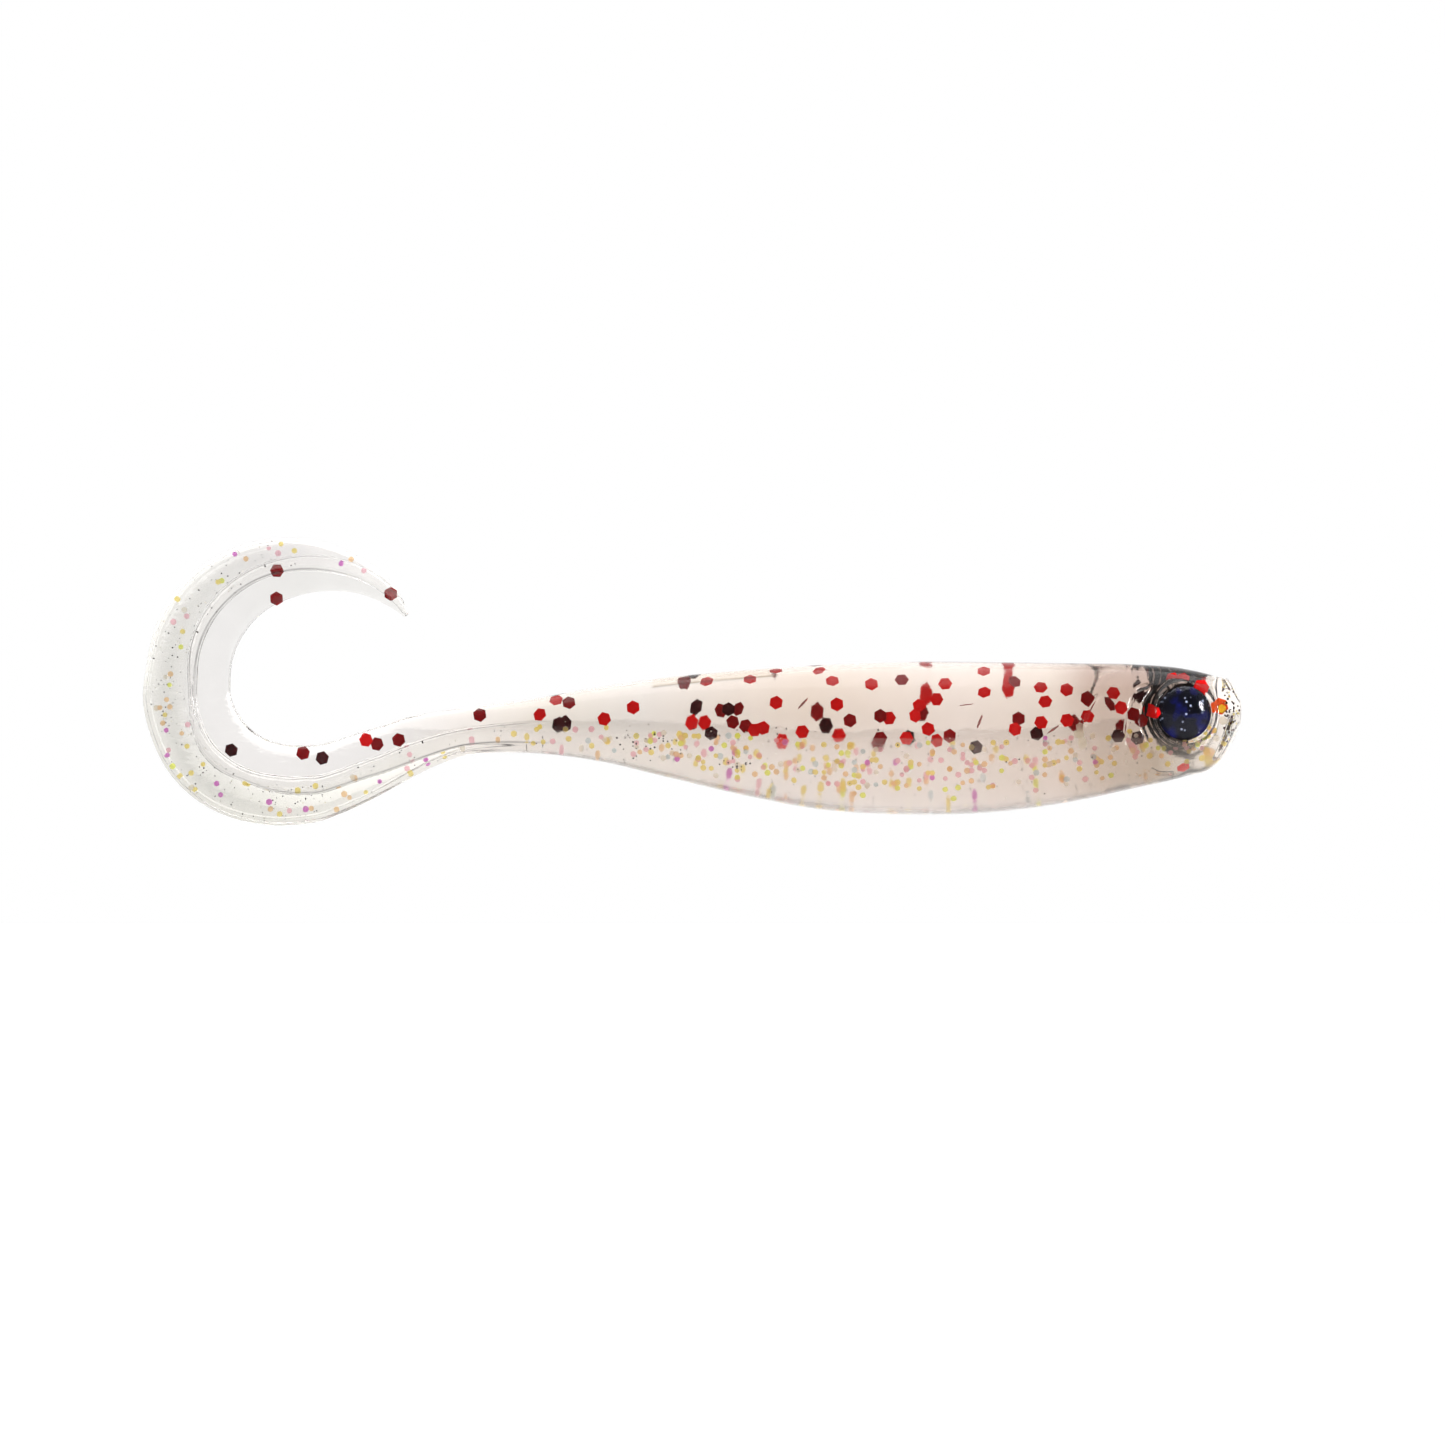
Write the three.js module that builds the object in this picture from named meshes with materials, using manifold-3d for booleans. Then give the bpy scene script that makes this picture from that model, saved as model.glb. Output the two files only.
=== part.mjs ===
// A soft plastic curly-tail minnow bait, moulded in two pours: a clear back over a pearl belly.
// A domed eye sits in a socket on each side of the head, and the tail is a ribbon that curls
// forward over itself. The plastic bends everywhere; here it bends at a row of joints instead.
//
// Millimetres, +Z up. The bait swims upright with its nose towards +X.
// The origin is the middle of the flat nose face, where a jig head's collar seats.
import * as THREE from 'three';
import { mergeVertices } from 'three/addons/utils/BufferGeometryUtils.js';
import Module from 'manifold-3d';

const wasm = await Module();
wasm.setup();

// ---- Driving dimensions ----

// Body sections, nose to wrist: x, top z, bottom z, half width.
const BODY_SECTIONS = [
  [0, 1.3, -1.1, 1.9],
  [-0.8, 2.8, -2.9, 2.5],
  [-2.3, 3.4, -4.8, 2.95],
  [-5.2, 4.1, -5.9, 3.6],
  [-9.5, 4.5, -6.9, 4.3],
  [-15, 4.6, -8.1, 4.65],
  [-22, 4.7, -9.1, 4.8],
  [-31, 4.75, -9.4, 4.8],
  [-39, 4.45, -8.9, 4.45],
  [-46, 3.95, -7.6, 3.8],
  [-53, 3.3, -5.95, 3],
  [-60, 2.3, -4.35, 2.25],
  [-66, 1.25, -3.7, 1.8],
];

// Ribbon root sections, where the round wrist flattens into the tail:
// inner edge x, z, outer edge x, z, half width at the rib, flatness from 0 to 1.
const ROOT_SECTIONS = [
  [-69.4, 0.8, -69.4, -3.7, 1.6, 0.25],
  [-72.2, 0.4, -71.6, -3.9, 1.45, 0.55],
  [-74.8, 0.05, -73.5, -4.5, 1.35, 0.8],
  [-77.3, -0.45, -75.6, -5.4, 1.3, 0.95],
  [-79.3, -1.15, -77.4, -6.4, 1.25, 1],
  [-81.3, -1.7, -79.4, -7.5, 1.2, 1],
  [-83.3, -2.4, -81.8, -8.7, 1.15, 1],
  [-85.2, -2.9, -84.3, -9.7, 1.12, 1],
];

// Curl sections: angle about the curl's centre, inner radius, outer radius, half width at the rib.
const CURL_SECTIONS = [
  [-90, 4.65, 12, 1.1],
  [-120, 5, 13.2, 1.05],
  [-150, 5.65, 14.1, 1],
  [-180, 6.4, 14.55, 0.95],
  [-210, 7.1, 14.9, 0.9],
  [-235, 8, 15.15, 0.85],
  [-255, 8.7, 14.8, 0.75],
  [-275, 9.4, 14.4, 0.65],
  [-295, 10.6, 13.9, 0.55],
  [-310, 11.35, 13.4, 0.48],
  [-322, 12, 12.7, 0.42],
];
const CURL_CENTRE = new THREE.Vector2(-87.04, 1.67);

const BODY_ROUNDNESS = 2.3; // superellipse exponent of a body section
const RIBBON_ROUNDNESS = 8; // and of the ribbon, which has nearly parallel faces
const RIBBON_HALF = 0.55; // half thickness of the ribbon away from its rib
const RIB_WIDTH = 0.09; // of the ribbon's width, each way from the rib's crest
const SEAM_Z = -2.4; // height of the seam between the pours in the body
const SEAM_RISE_X = [-46, -66]; // where the seam climbs from there to the wrist
const SEAM_WRIST_Z = -1.6;
const RIBBON_SEAM = 0.53; // place of the seam, as a part of the ribbon's width

const CLEARANCE = 0.15; // between neighbouring pieces
// The sideways joints: x of the axis, knuckle radius, degrees each way.
const TRUNK_BEND = { x: -46, radius: 3, limit: 15 };
const TAIL_SWING = { x: -63, radius: 1.6, limit: 35 };
const TAIL_FLUTTER = { x: -75, radius: 1.1, limit: 30 };
const CURL_JOINTS = [-78, -118, -158, -198, -238, -278]; // angles about the curl's centre
const CURL_END = -330;

const EYE = { x: -5.2, y: 3.5, radius: 2.5, turn: 12 }; // turn: degrees towards the nose
const EYE_SOCKET_DEPTH = 1.1;
const EYE_DISC = 0.2; // thickness of the foil disc behind the dome
const EYE_RIM = 0.6; // straight side of the dome
const EYE_CROWN = 0.9; // height of the dome above its rim
const EYE_SIDES = 28;

const STEPS = 2; // lofted stations for each section in the tables
const REACH = 60; // half size of the cutting solids, larger than the bait's half height

// ---- Solids ----

function toSolid(geometry) {
  geometry.deleteAttribute('normal');
  geometry.deleteAttribute('uv');
  const merged = mergeVertices(geometry, 1e-4);
  return new wasm.Manifold(new wasm.Mesh({
    numProp: 3,
    vertProperties: merged.getAttribute('position').array,
    triVerts: new Uint32Array(merged.index.array),
  }));
}

function toGeometry(solid) {
  const mesh = solid.getMesh();
  const geometry = new THREE.BufferGeometry();
  geometry.setAttribute('position', new THREE.BufferAttribute(mesh.vertProperties, 3));
  geometry.setIndex(new THREE.BufferAttribute(mesh.triVerts, 1));
  const facets = geometry.toNonIndexed();
  facets.computeVertexNormals();
  return facets;
}

// An outline in the XZ plane, run through the bait from side to side.
function sideways(outline) {
  const geometry = new THREE.ExtrudeGeometry(new THREE.Shape(outline), {
    depth: 2 * REACH,
    bevelEnabled: false,
  });
  geometry.rotateX(Math.PI / 2);
  geometry.translate(0, REACH, 0);
  return toSolid(geometry);
}

// An outline in the XY plane, run through the bait from bottom to top.
function upright(shape) {
  const geometry = new THREE.ExtrudeGeometry(shape, {
    depth: 2 * REACH,
    bevelEnabled: false,
    curveSegments: 24,
  });
  geometry.translate(0, 0, -REACH);
  return toSolid(geometry);
}

// ---- The bait's outer shape ----

function fromCentre(degrees, radius) {
  const angle = THREE.MathUtils.degToRad(degrees);
  return new THREE.Vector2(Math.cos(angle), Math.sin(angle)).multiplyScalar(radius).add(CURL_CENTRE);
}

function seamHeight(x) {
  const [start, end] = SEAM_RISE_X;
  const climbed = THREE.MathUtils.clamp((x - start) / (end - start), 0, 1);
  return THREE.MathUtils.lerp(SEAM_Z, SEAM_WRIST_Z, climbed);
}

// Every section as numbers in one order, so that one spline can run through each of them.
function sectionRows() {
  const body = BODY_SECTIONS.map(([x, top, bottom, half]) => {
    const seam = (top - seamHeight(x)) / (top - bottom);
    return { edges: [x, top, x, bottom], half, flat: 0, seam };
  });
  const root = ROOT_SECTIONS.map(([ix, iz, ox, oz, half, flat]) =>
    ({ edges: [ix, iz, ox, oz], half, flat, seam: RIBBON_SEAM }));
  const curl = CURL_SECTIONS.map(([angle, inner, outer, half]) => {
    const edges = [...fromCentre(angle, inner).toArray(), ...fromCentre(angle, outer).toArray()];
    return { edges, half, flat: 1, seam: RIBBON_SEAM };
  });
  return [...body, ...root, ...curl];
}

// Stations along the bait, nose to tail tip, between and at the table's sections.
function lofted(rows) {
  const through = (read) => new THREE.CatmullRomCurve3(
    rows.map((row) => new THREE.Vector3(...read(row))), false, 'catmullrom', 0.5);
  const inner = through(({ edges }) => [edges[0], edges[1], 0]);
  const outer = through(({ edges }) => [edges[2], edges[3], 0]);
  const shape = through(({ half, flat, seam }) => [half, flat, seam]);
  const count = (rows.length - 1) * STEPS;
  return Array.from({ length: count + 1 }, (_, i) => {
    const [half, flat, seam] = shape.getPoint(i / count).toArray();
    const [a, b] = [inner.getPoint(i / count), outer.getPoint(i / count)];
    return {
      inner: new THREE.Vector2(a.x, a.y),
      outer: new THREE.Vector2(b.x, b.y),
      half,
      flat: THREE.MathUtils.clamp(flat, 0, 1),
      seam,
    };
  });
}

// Places down a section, from its inner edge at 0 to its outer edge at 1. Round sections are
// stepped evenly by angle, and the ribbon has its steps at its edges and its rib.
const RIBBON_PLACES = [0, 0.03, 0.18, 0.38, 0.46, 0.53, 0.6, 0.68, 0.84, 0.97, 1];
function place(step, flat) {
  const round = (1 - Math.cos(Math.PI * step / (RIBBON_PLACES.length - 1))) / 2;
  return THREE.MathUtils.lerp(round, RIBBON_PLACES[step], flat);
}

function halfThickness(at, { half, flat, seam }) {
  const superellipse = (n) => Math.max(0, 1 - Math.abs(2 * at - 1) ** n) ** (1 / n);
  const body = half * superellipse(BODY_ROUNDNESS);
  const face = Math.min(RIBBON_HALF, half) * superellipse(RIBBON_ROUNDNESS);
  const rib = Math.max(0, half - RIBBON_HALF) * Math.exp(-(((at - seam) / RIB_WIDTH) ** 2));
  return THREE.MathUtils.lerp(body, face + rib, flat);
}

function ring(station) {
  const steps = RIBBON_PLACES.length - 1;
  const side = (step, sign) => {
    const at = place(step, station.flat);
    const point = station.inner.clone().lerp(station.outer, at);
    return [point.x, sign * halfThickness(at, station), point.y];
  };
  const left = Array.from({ length: steps + 1 }, (_, step) => side(step, 1));
  const right = Array.from({ length: steps - 1 }, (_, step) => side(steps - 1 - step, -1));
  return [...left, ...right];
}

function loft(stations) {
  const rings = stations.map(ring);
  const around = rings[0].length;
  const last = (rings.length - 1) * around;
  const triangles = [];
  for (let start = 0; start < last; start += around) {
    for (let k = 0; k < around; k++) {
      const [a, b] = [start + k, start + (k + 1) % around];
      triangles.push(a, b, a + around, b, b + around, a + around);
    }
  }
  for (let k = 1; k < around - 1; k++) {
    triangles.push(0, k + 1, k);
    triangles.push(last, last + k, last + k + 1);
  }
  const geometry = new THREE.BufferGeometry();
  geometry.setAttribute('position', new THREE.Float32BufferAttribute(rings.flat(2), 3));
  geometry.setIndex(triangles);
  return toSolid(geometry);
}

// ---- Where the pours and the moving lengths divide ----

// Everything above the seam in the body and inside it in the curl. A positive shift widens it.
function insideSeam(stations, shift) {
  const seam = stations.map(({ inner, outer, seam: at }) => {
    const away = outer.clone().sub(inner).normalize();
    return inner.clone().lerp(outer, at).addScaledVector(away, shift);
  });
  const [tip, before] = [seam.at(-1), seam.at(-2)];
  const pastTip = tip.clone().addScaledVector(tip.clone().sub(before).normalize(), 2);
  const ahead = 8;
  const nose = new THREE.Vector2(ahead, seam[0].y);
  return sideways([nose, ...seam, pastTip, new THREE.Vector2(ahead, pastTip.y)]);
}

// What the length behind a sideways joint may fill: all that lies behind the axis, with a
// rounded knuckle that reaches forward.
function behind({ x, radius }) {
  const shape = new THREE.Shape([
    new THREE.Vector2(x - 2 * REACH, -REACH),
    new THREE.Vector2(x, -REACH),
    new THREE.Vector2(x, REACH),
    new THREE.Vector2(x - 2 * REACH, REACH),
  ]);
  const knuckle = new THREE.Shape().absarc(x, 0, radius, 0, 2 * Math.PI);
  return upright(shape).add(upright(knuckle));
}

// What is cut from the length ahead of it: room for the knuckle, and a flare for its swing.
function roomBehind({ x, radius, limit }) {
  const flare = REACH * Math.tan(THREE.MathUtils.degToRad(limit));
  const shape = new THREE.Shape([
    new THREE.Vector2(x - 2 * REACH, -REACH),
    new THREE.Vector2(x + flare, -REACH),
    new THREE.Vector2(x + CLEARANCE, 0),
    new THREE.Vector2(x + flare, REACH),
    new THREE.Vector2(x - 2 * REACH, REACH),
  ]);
  const knuckle = new THREE.Shape().absarc(x, 0, radius + CLEARANCE, 0, 2 * Math.PI);
  return upright(shape).add(upright(knuckle));
}

// The wedge about the curl's centre between two angles, drawn in by half the clearance.
function wedge(start, end) {
  const half = THREE.MathUtils.degToRad((start - end) / 2);
  const inset = CLEARANCE / 2 / Math.sin(half);
  const middle = (start + end) / 2;
  const apex = fromCentre(middle, inset);
  const [near, far] = [fromCentre(start, REACH), fromCentre(end, REACH)];
  const shift = apex.clone().sub(CURL_CENTRE);
  return sideways([apex, far.add(shift), near.add(shift)]);
}

// Below the curl's centre and ahead of the first curl joint: where the ribbon leaves the wrist.
function ribbonRoot(end) {
  const [x, z] = CURL_CENTRE.toArray();
  const shift = CLEARANCE / 2;
  return sideways([
    new THREE.Vector2(x + shift, z),
    fromCentre(end, REACH).add(new THREE.Vector2(shift, 0)),
    new THREE.Vector2(0, -REACH),
    new THREE.Vector2(0, z),
  ]);
}

// ---- Eyes ----

// Stands a turned piece or cutter on the head, its own +Y along the eye's outward axis.
function onHead(geometry, side) {
  const turn = THREE.MathUtils.degToRad(EYE.turn);
  const outward = new THREE.Vector3(Math.sin(turn), side * Math.cos(turn), 0);
  geometry.applyQuaternion(new THREE.Quaternion()
    .setFromUnitVectors(new THREE.Vector3(0, 1, 0), outward));
  geometry.translate(EYE.x, side * EYE.y, 0);
  return geometry;
}

function eyeSocket(side) {
  const radius = EYE.radius + CLEARANCE;
  const geometry = new THREE.CylinderGeometry(radius, radius, 2 * EYE_SOCKET_DEPTH, EYE_SIDES);
  return toSolid(onHead(geometry, side));
}

function eyeDisc(side) {
  const geometry = new THREE.CylinderGeometry(EYE.radius, EYE.radius, EYE_DISC, EYE_SIDES);
  geometry.translate(0, EYE_DISC / 2 + CLEARANCE - EYE_SOCKET_DEPTH, 0);
  return onHead(geometry, side);
}

function eyeDome(side) {
  const foot = EYE_DISC + 2 * CLEARANCE - EYE_SOCKET_DEPTH;
  const rim = foot + EYE_RIM;
  const crown = Array.from({ length: 6 }, (_, i) => {
    const angle = i / 5 * Math.PI / 2;
    return new THREE.Vector2(EYE.radius * Math.cos(angle), rim + EYE_CROWN * Math.sin(angle));
  });
  crown.at(-1).x = 0;
  const profile = [new THREE.Vector2(0, foot), new THREE.Vector2(EYE.radius, foot), ...crown];
  return onHead(new THREE.LatheGeometry(profile, EYE_SIDES), side);
}

// ---- The assembly ----

const FINISHES = {
  back: new THREE.MeshStandardMaterial({ color: 0xe4d9d6, roughness: 0.2, transparent: true, opacity: 0.6 }),
  belly: new THREE.MeshStandardMaterial({ color: 0xf0e6e0, roughness: 0.25, transparent: true, opacity: 0.8 }),
  foil: new THREE.MeshStandardMaterial({ color: 0x16203a, roughness: 0.3, metalness: 0.8 }),
  dome: new THREE.MeshStandardMaterial({ color: 0x0c1022, roughness: 0.05, transparent: true, opacity: 0.7 }),
};

const bait = new THREE.Group();

function addPiece(name, geometry, finish) {
  const mesh = new THREE.Mesh(geometry, FINISHES[finish]);
  mesh.name = name;
  bait.add(mesh);
}

const stations = lofted(sectionRows());
const whole = loft(stations);
const backRoom = insideSeam(stations, -CLEARANCE / 2);
const bellyRoom = insideSeam(stations, CLEARANCE / 2);

// One length of the bait becomes two pieces, one from each pour.
function addLength(solid, backName, bellyName) {
  addPiece(backName, toGeometry(solid.intersect(backRoom)), 'back');
  addPiece(bellyName, toGeometry(solid.subtract(bellyRoom)), 'belly');
}

const sockets = eyeSocket(1).add(eyeSocket(-1));
const head = whole.subtract(roomBehind(TRUNK_BEND)).subtract(sockets);
const rear = whole.intersect(behind(TRUNK_BEND)).subtract(roomBehind(TAIL_SWING));
const wrist = whole.intersect(behind(TAIL_SWING)).subtract(roomBehind(TAIL_FLUTTER));
addLength(head, 'front_back_pour', 'front_belly_pour');
addLength(rear, 'rear_back_pour', 'rear_belly_pour');
addLength(wrist, 'wrist_back_pour', 'wrist_belly_pour');

const root = whole.intersect(behind(TAIL_FLUTTER)).intersect(ribbonRoot(CURL_JOINTS[0]));
addLength(root, 'tail_1_inner_blade', 'tail_1_outer_blade');
CURL_JOINTS.forEach((start, i) => {
  const end = CURL_JOINTS[i + 1] ?? CURL_END;
  const number = i + 2;
  addLength(whole.intersect(wedge(start, end)), `tail_${number}_inner_blade`, `tail_${number}_outer_blade`);
});

for (const [name, side] of [['left', 1], ['right', -1]]) {
  addPiece(`${name}_eye_foil`, eyeDisc(side), 'foil');
  addPiece(`${name}_eye_dome`, eyeDome(side), 'dome');
}

export default bait;
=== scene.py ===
# %% [markdown]
# # A soft plastic curly-tail minnow bait
# The real bait is one bendy casting, poured in two shots: a clear back over a pearl belly.
# Flakes of cut film float in both shots, an eye sits in a socket on each side of the head,
# and the tail is a thin ribbon that curls forward over itself.
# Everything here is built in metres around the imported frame, whose bodies bend at nine joints.

import math

import bpy
import numpy as np
from mathutils import Matrix, Vector


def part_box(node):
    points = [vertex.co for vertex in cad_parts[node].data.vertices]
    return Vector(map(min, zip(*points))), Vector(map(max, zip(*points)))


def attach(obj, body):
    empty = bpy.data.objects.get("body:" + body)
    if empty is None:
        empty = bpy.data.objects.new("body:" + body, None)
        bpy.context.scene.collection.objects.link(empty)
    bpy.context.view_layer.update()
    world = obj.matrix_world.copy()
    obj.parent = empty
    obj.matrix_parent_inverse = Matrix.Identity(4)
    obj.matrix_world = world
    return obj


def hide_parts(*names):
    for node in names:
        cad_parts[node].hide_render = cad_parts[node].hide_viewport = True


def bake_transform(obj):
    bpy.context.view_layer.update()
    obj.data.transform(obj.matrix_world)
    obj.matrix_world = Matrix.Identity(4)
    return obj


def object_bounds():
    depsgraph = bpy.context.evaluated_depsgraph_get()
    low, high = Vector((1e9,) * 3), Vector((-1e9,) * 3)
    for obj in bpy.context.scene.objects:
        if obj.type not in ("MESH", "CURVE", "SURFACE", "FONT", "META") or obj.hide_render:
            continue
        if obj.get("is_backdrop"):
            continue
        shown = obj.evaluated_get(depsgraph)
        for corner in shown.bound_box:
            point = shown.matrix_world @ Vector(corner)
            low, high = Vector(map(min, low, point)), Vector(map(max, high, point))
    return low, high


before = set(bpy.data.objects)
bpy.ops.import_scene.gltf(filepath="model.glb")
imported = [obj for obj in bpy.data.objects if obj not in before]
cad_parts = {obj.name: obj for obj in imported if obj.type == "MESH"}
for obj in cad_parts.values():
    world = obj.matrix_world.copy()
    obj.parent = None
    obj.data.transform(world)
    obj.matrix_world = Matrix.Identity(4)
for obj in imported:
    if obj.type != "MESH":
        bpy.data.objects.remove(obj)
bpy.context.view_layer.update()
MM = 0.001

# %% [markdown]
# ## Camera
# A bait this small is pictured from far off with a long lens, so that its near and far sides
# look the same size. A perspective camera is kept, with a 200 mm lens three quarters of a
# metre away, level with the bait and square to its side.

# %% Camera square to the bait's side
LENS, SENSOR = 200.0, 36.0
FRAME_WIDTH = 133.8 * MM
AIM = Vector((-47.92, 0.0, -0.88)) * MM


def placed(name, data):
    """A new object that shows this mesh, lamp or camera, linked into the scene."""
    found = bpy.data.objects.new(name, data)
    bpy.context.scene.collection.objects.link(found)
    return found


lens = bpy.data.cameras.new("side_camera")
lens.lens, lens.sensor_width = LENS, SENSOR
lens.clip_start, lens.clip_end = 0.01, 20
camera = placed("side_camera", lens)
camera.location = AIM + Vector((0, -FRAME_WIDTH * LENS / SENSOR, 0))
camera.rotation_euler = (math.pi / 2, 0, 0)
bpy.context.scene.camera = camera
print("camera stands", round(-camera.location.y, 3), "m away")

# %% [markdown]
# ## Measuring the casting
# The frame holds plain solids for each length of the bait. One smooth skin over all of them
# needs their outline, so a plane cuts them at a row of places: straight across the body,
# and like the spokes of a wheel round the curl. Each cut tells where the back edge, the belly
# edge and the seam between the shots lie, and how thick the bait is there.
# A single number u runs along the bait: millimetres from the nose, then a share of a
# millimetre for each degree round the curl.

# %% Triangles of the solids
BACK_NODES = [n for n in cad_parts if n.endswith(("back_pour", "inner_blade"))]
BELLY_NODES = [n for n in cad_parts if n.endswith(("belly_pour", "outer_blade"))]


def corners_of(names):
    """Every triangle of these solids as three corners, in millimetres."""
    found = []
    for name in names:
        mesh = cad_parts[name].data
        mesh.calc_loop_triangles()
        points = np.array([v.co for v in mesh.vertices]) / MM
        found.append(points[[t.vertices[:] for t in mesh.loop_triangles]])
    return np.concatenate(found)


BACK_CORNERS, BELLY_CORNERS = corners_of(BACK_NODES), corners_of(BELLY_NODES)
print(len(BACK_CORNERS), "back and", len(BELLY_CORNERS), "belly triangles")

# %% Where u puts a cutting plane
CURL_CENTRE = np.array((-87.04, 0.0, 1.67))
CURL_START, CURL_PER_DEGREE = 87.04, 0.185


def u_at(degrees):
    """The place along the bait of a spoke at this angle about the curl's centre."""
    return CURL_START + (-90 - degrees) * CURL_PER_DEGREE


def plane_at(u):
    """A point on the cutting plane at u, the way from back edge to belly edge, and the normal."""
    if u <= CURL_START:
        return np.array((-u, 0, CURL_CENTRE[2])), np.array((0, 0, -1.0)), np.array((1.0, 0, 0))
    angle = math.radians(-90 - (u - CURL_START) / CURL_PER_DEGREE)
    spoke = np.array((math.cos(angle), 0, math.sin(angle)))
    return CURL_CENTRE, spoke, np.array((-spoke[2], 0, spoke[0]))


# %% Cut the solids with a plane
BODY_END, BODY_TOP = 66, -9  # the body rises above its planes' points, and the tail doesn't


def cut(corners, u):
    """Lowest and highest reach of the cut face from back to belly, and its half width."""
    point, across, normal = plane_at(u)
    side = (corners - point) @ normal - 1e-4
    crossings = []
    for a, b in ((0, 1), (1, 2), (2, 0)):
        hit = side[:, a] * side[:, b] < 0
        share = side[hit, a] / (side[hit, a] - side[hit, b])
        crossings.append(
            corners[hit, a] + share[:, None] * (corners[hit, b] - corners[hit, a])
        )
    crossings = np.concatenate(crossings)
    reach = (crossings - point) @ across
    keep = reach > (0 if u > BODY_END else BODY_TOP)
    if not keep.any():
        return None
    return reach[keep].min(), reach[keep].max(), abs(crossings[keep, 1]).max()


BODY_CUTS = [0.05, 0.8, 2.3, 5.2, 9.5, 15, 22, 31, 39, 46, 53, 60, 66]
ROOT_CUTS = [69.4, 71.9, 75, 77.3, 79.3, 81.3, 83.3, 85.2]
SPOKES = [-90.2, -105, -135, -150, -165, -180, -188, -210, -222, -250, -265, -290]
SPOKES += [-300, -310, -321.5]
CUTS = BODY_CUTS + ROOT_CUTS + [u_at(d) for d in SPOKES]

# %% Read every cut
LOWEST_SEAM = 0.72  # of the way from back edge to belly edge

BACK_EDGE, BELLY_EDGE, HALF_WIDTH, SEAM_SHARE = [], [], [], []
for u in CUTS:
    back, belly = cut(BACK_CORNERS, u), cut(BELLY_CORNERS, u)
    first = back[0]
    last = max(back[1], belly[1] if belly else back[1])
    seam = (back[1] + max(belly[0], back[1])) / 2 if belly else last
    BACK_EDGE.append(first)
    BELLY_EDGE.append(last)
    HALF_WIDTH.append(max(back[2], belly[2] if belly else 0))
    SEAM_SHARE.append(min((back[1] - first) / (last - first), LOWEST_SEAM))
print("edges at the deepest cut:", [round(float(v), 2) for v in (BACK_EDGE[7], BELLY_EDGE[7])])
print("seam share", [round(float(s), 2) for s in SEAM_SHARE])

# %% Smooth curves through the cuts
def through(keys, values, at):
    """A smooth curve through measured values, sloped at each key as its neighbours are."""
    keys, values, at = (np.asarray(v, float) for v in (keys, values, at))
    rises, runs = np.diff(values), np.diff(keys)
    steep = rises / runs
    slope = np.concatenate(
        (
            steep[:1],
            (steep[:-1] * runs[1:] + steep[1:] * runs[:-1]) / (runs[1:] + runs[:-1]),
            steep[-1:],
        )
    )
    k = np.clip(np.searchsorted(keys, at) - 1, 0, len(runs) - 1)
    t = np.clip((at - keys[k]) / runs[k], 0, 1)
    a, b = values[k], values[k + 1]
    rise_a, rise_b = slope[k] * runs[k], slope[k + 1] * runs[k]
    return (
        (2 * t**3 - 3 * t**2 + 1) * a
        + (t**3 - 2 * t**2 + t) * rise_a
        + (3 * t**2 - 2 * t**3) * b
        + (t**3 - t**2) * rise_b
    )


def eased(value, start, end):
    """0 before start, 1 after end, with a soft turn at both."""
    t = np.clip((value - start) / (end - start), 0, 1)
    return t * t * (3 - 2 * t)


# %% [markdown]
# ## One skin for the whole bait
# Where a soft casting bends, no gap may open between its lengths. So the whole skin is laid
# out first as a single grid of points, rows along the bait and columns from back edge to
# belly edge, with its details pressed in. The lengths are sliced from it afterwards, and
# neighbours share their cut ring and its normals, which hides the join.

# %% Rows along the bait
LENGTH_CUTS = [0.0, 55.0, 69.9, 79.9] + [u_at(d) for d in (-98, -138, -178, -218, -258, -321.8)]
STEPS_BETWEEN = [0.15, 0.3, 0.25, 0.25, 0.3, 0.3, 0.3, 0.3, 0.3]
HEAD_END, HEAD_STEP, BODY_STEP = 15.0, 0.14, 0.4

rows_u, cut_rows = [], [0]
for k, step in enumerate(STEPS_BETWEEN):
    low, high = LENGTH_CUTS[k], LENGTH_CUTS[k + 1]
    if k == 0:
        rows_u += list(np.arange(low, HEAD_END, HEAD_STEP))
        low, step = HEAD_END, BODY_STEP
    rows_u += list(np.linspace(low, high, round((high - low) / step), endpoint=False))
    cut_rows.append(len(rows_u))
rows_u.append(LENGTH_CUTS[-1])
ROW_U = np.array(rows_u)
print(len(ROW_U), "rows, lengths end at rows", cut_rows)

# %% Edges of every row, in the side plane
BACK_AT = through(CUTS, BACK_EDGE, ROW_U)
BELLY_AT = through(CUTS, BELLY_EDGE, ROW_U)
CUTS_THROUGH_GAPS = (5.2, 46, 75)  # the eye socket and two knuckles, where the solids are thinner
width_keys = [u for u in CUTS if u not in CUTS_THROUGH_GAPS]
width_values = [h for u, h in zip(CUTS, HALF_WIDTH) if u not in CUTS_THROUGH_GAPS]
HALF_AT = through(width_keys, width_values, ROW_U)
SEAM_AT = through(CUTS, SEAM_SHARE, ROW_U)
PLANES = [plane_at(u) for u in ROW_U]
BACK_LINE = np.array([p + a * r for (p, a, n), r in zip(PLANES, BACK_AT)])
BELLY_LINE = np.array([p + a * r for (p, a, n), r in zip(PLANES, BELLY_AT)])

# %% Columns from back edge to belly edge
ARC = 52  # columns from the back edge to the seam, and again from the seam to the belly edge
quarter = 1 - np.cos(np.linspace(0, math.pi / 2, ARC + 1))
SHARE = np.concatenate(
    (
        SEAM_AT[:, None] * quarter[None, :],
        (1 - (1 - SEAM_AT[:, None]) * quarter[None, ::-1])[:, 1:],
    ),
    axis=1,
)

# %% [markdown]
# ## Cross sections
# The body is a soft oval, a little squarer than an ellipse. The tail is a ribbon:
# a flat inner blade with a chamfered edge, a raised rib with crisp sides, and an outer
# blade swollen like a lens with a bead just inside its edge. One formula gives each,
# and the wrist fades from the first to the second.

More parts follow.
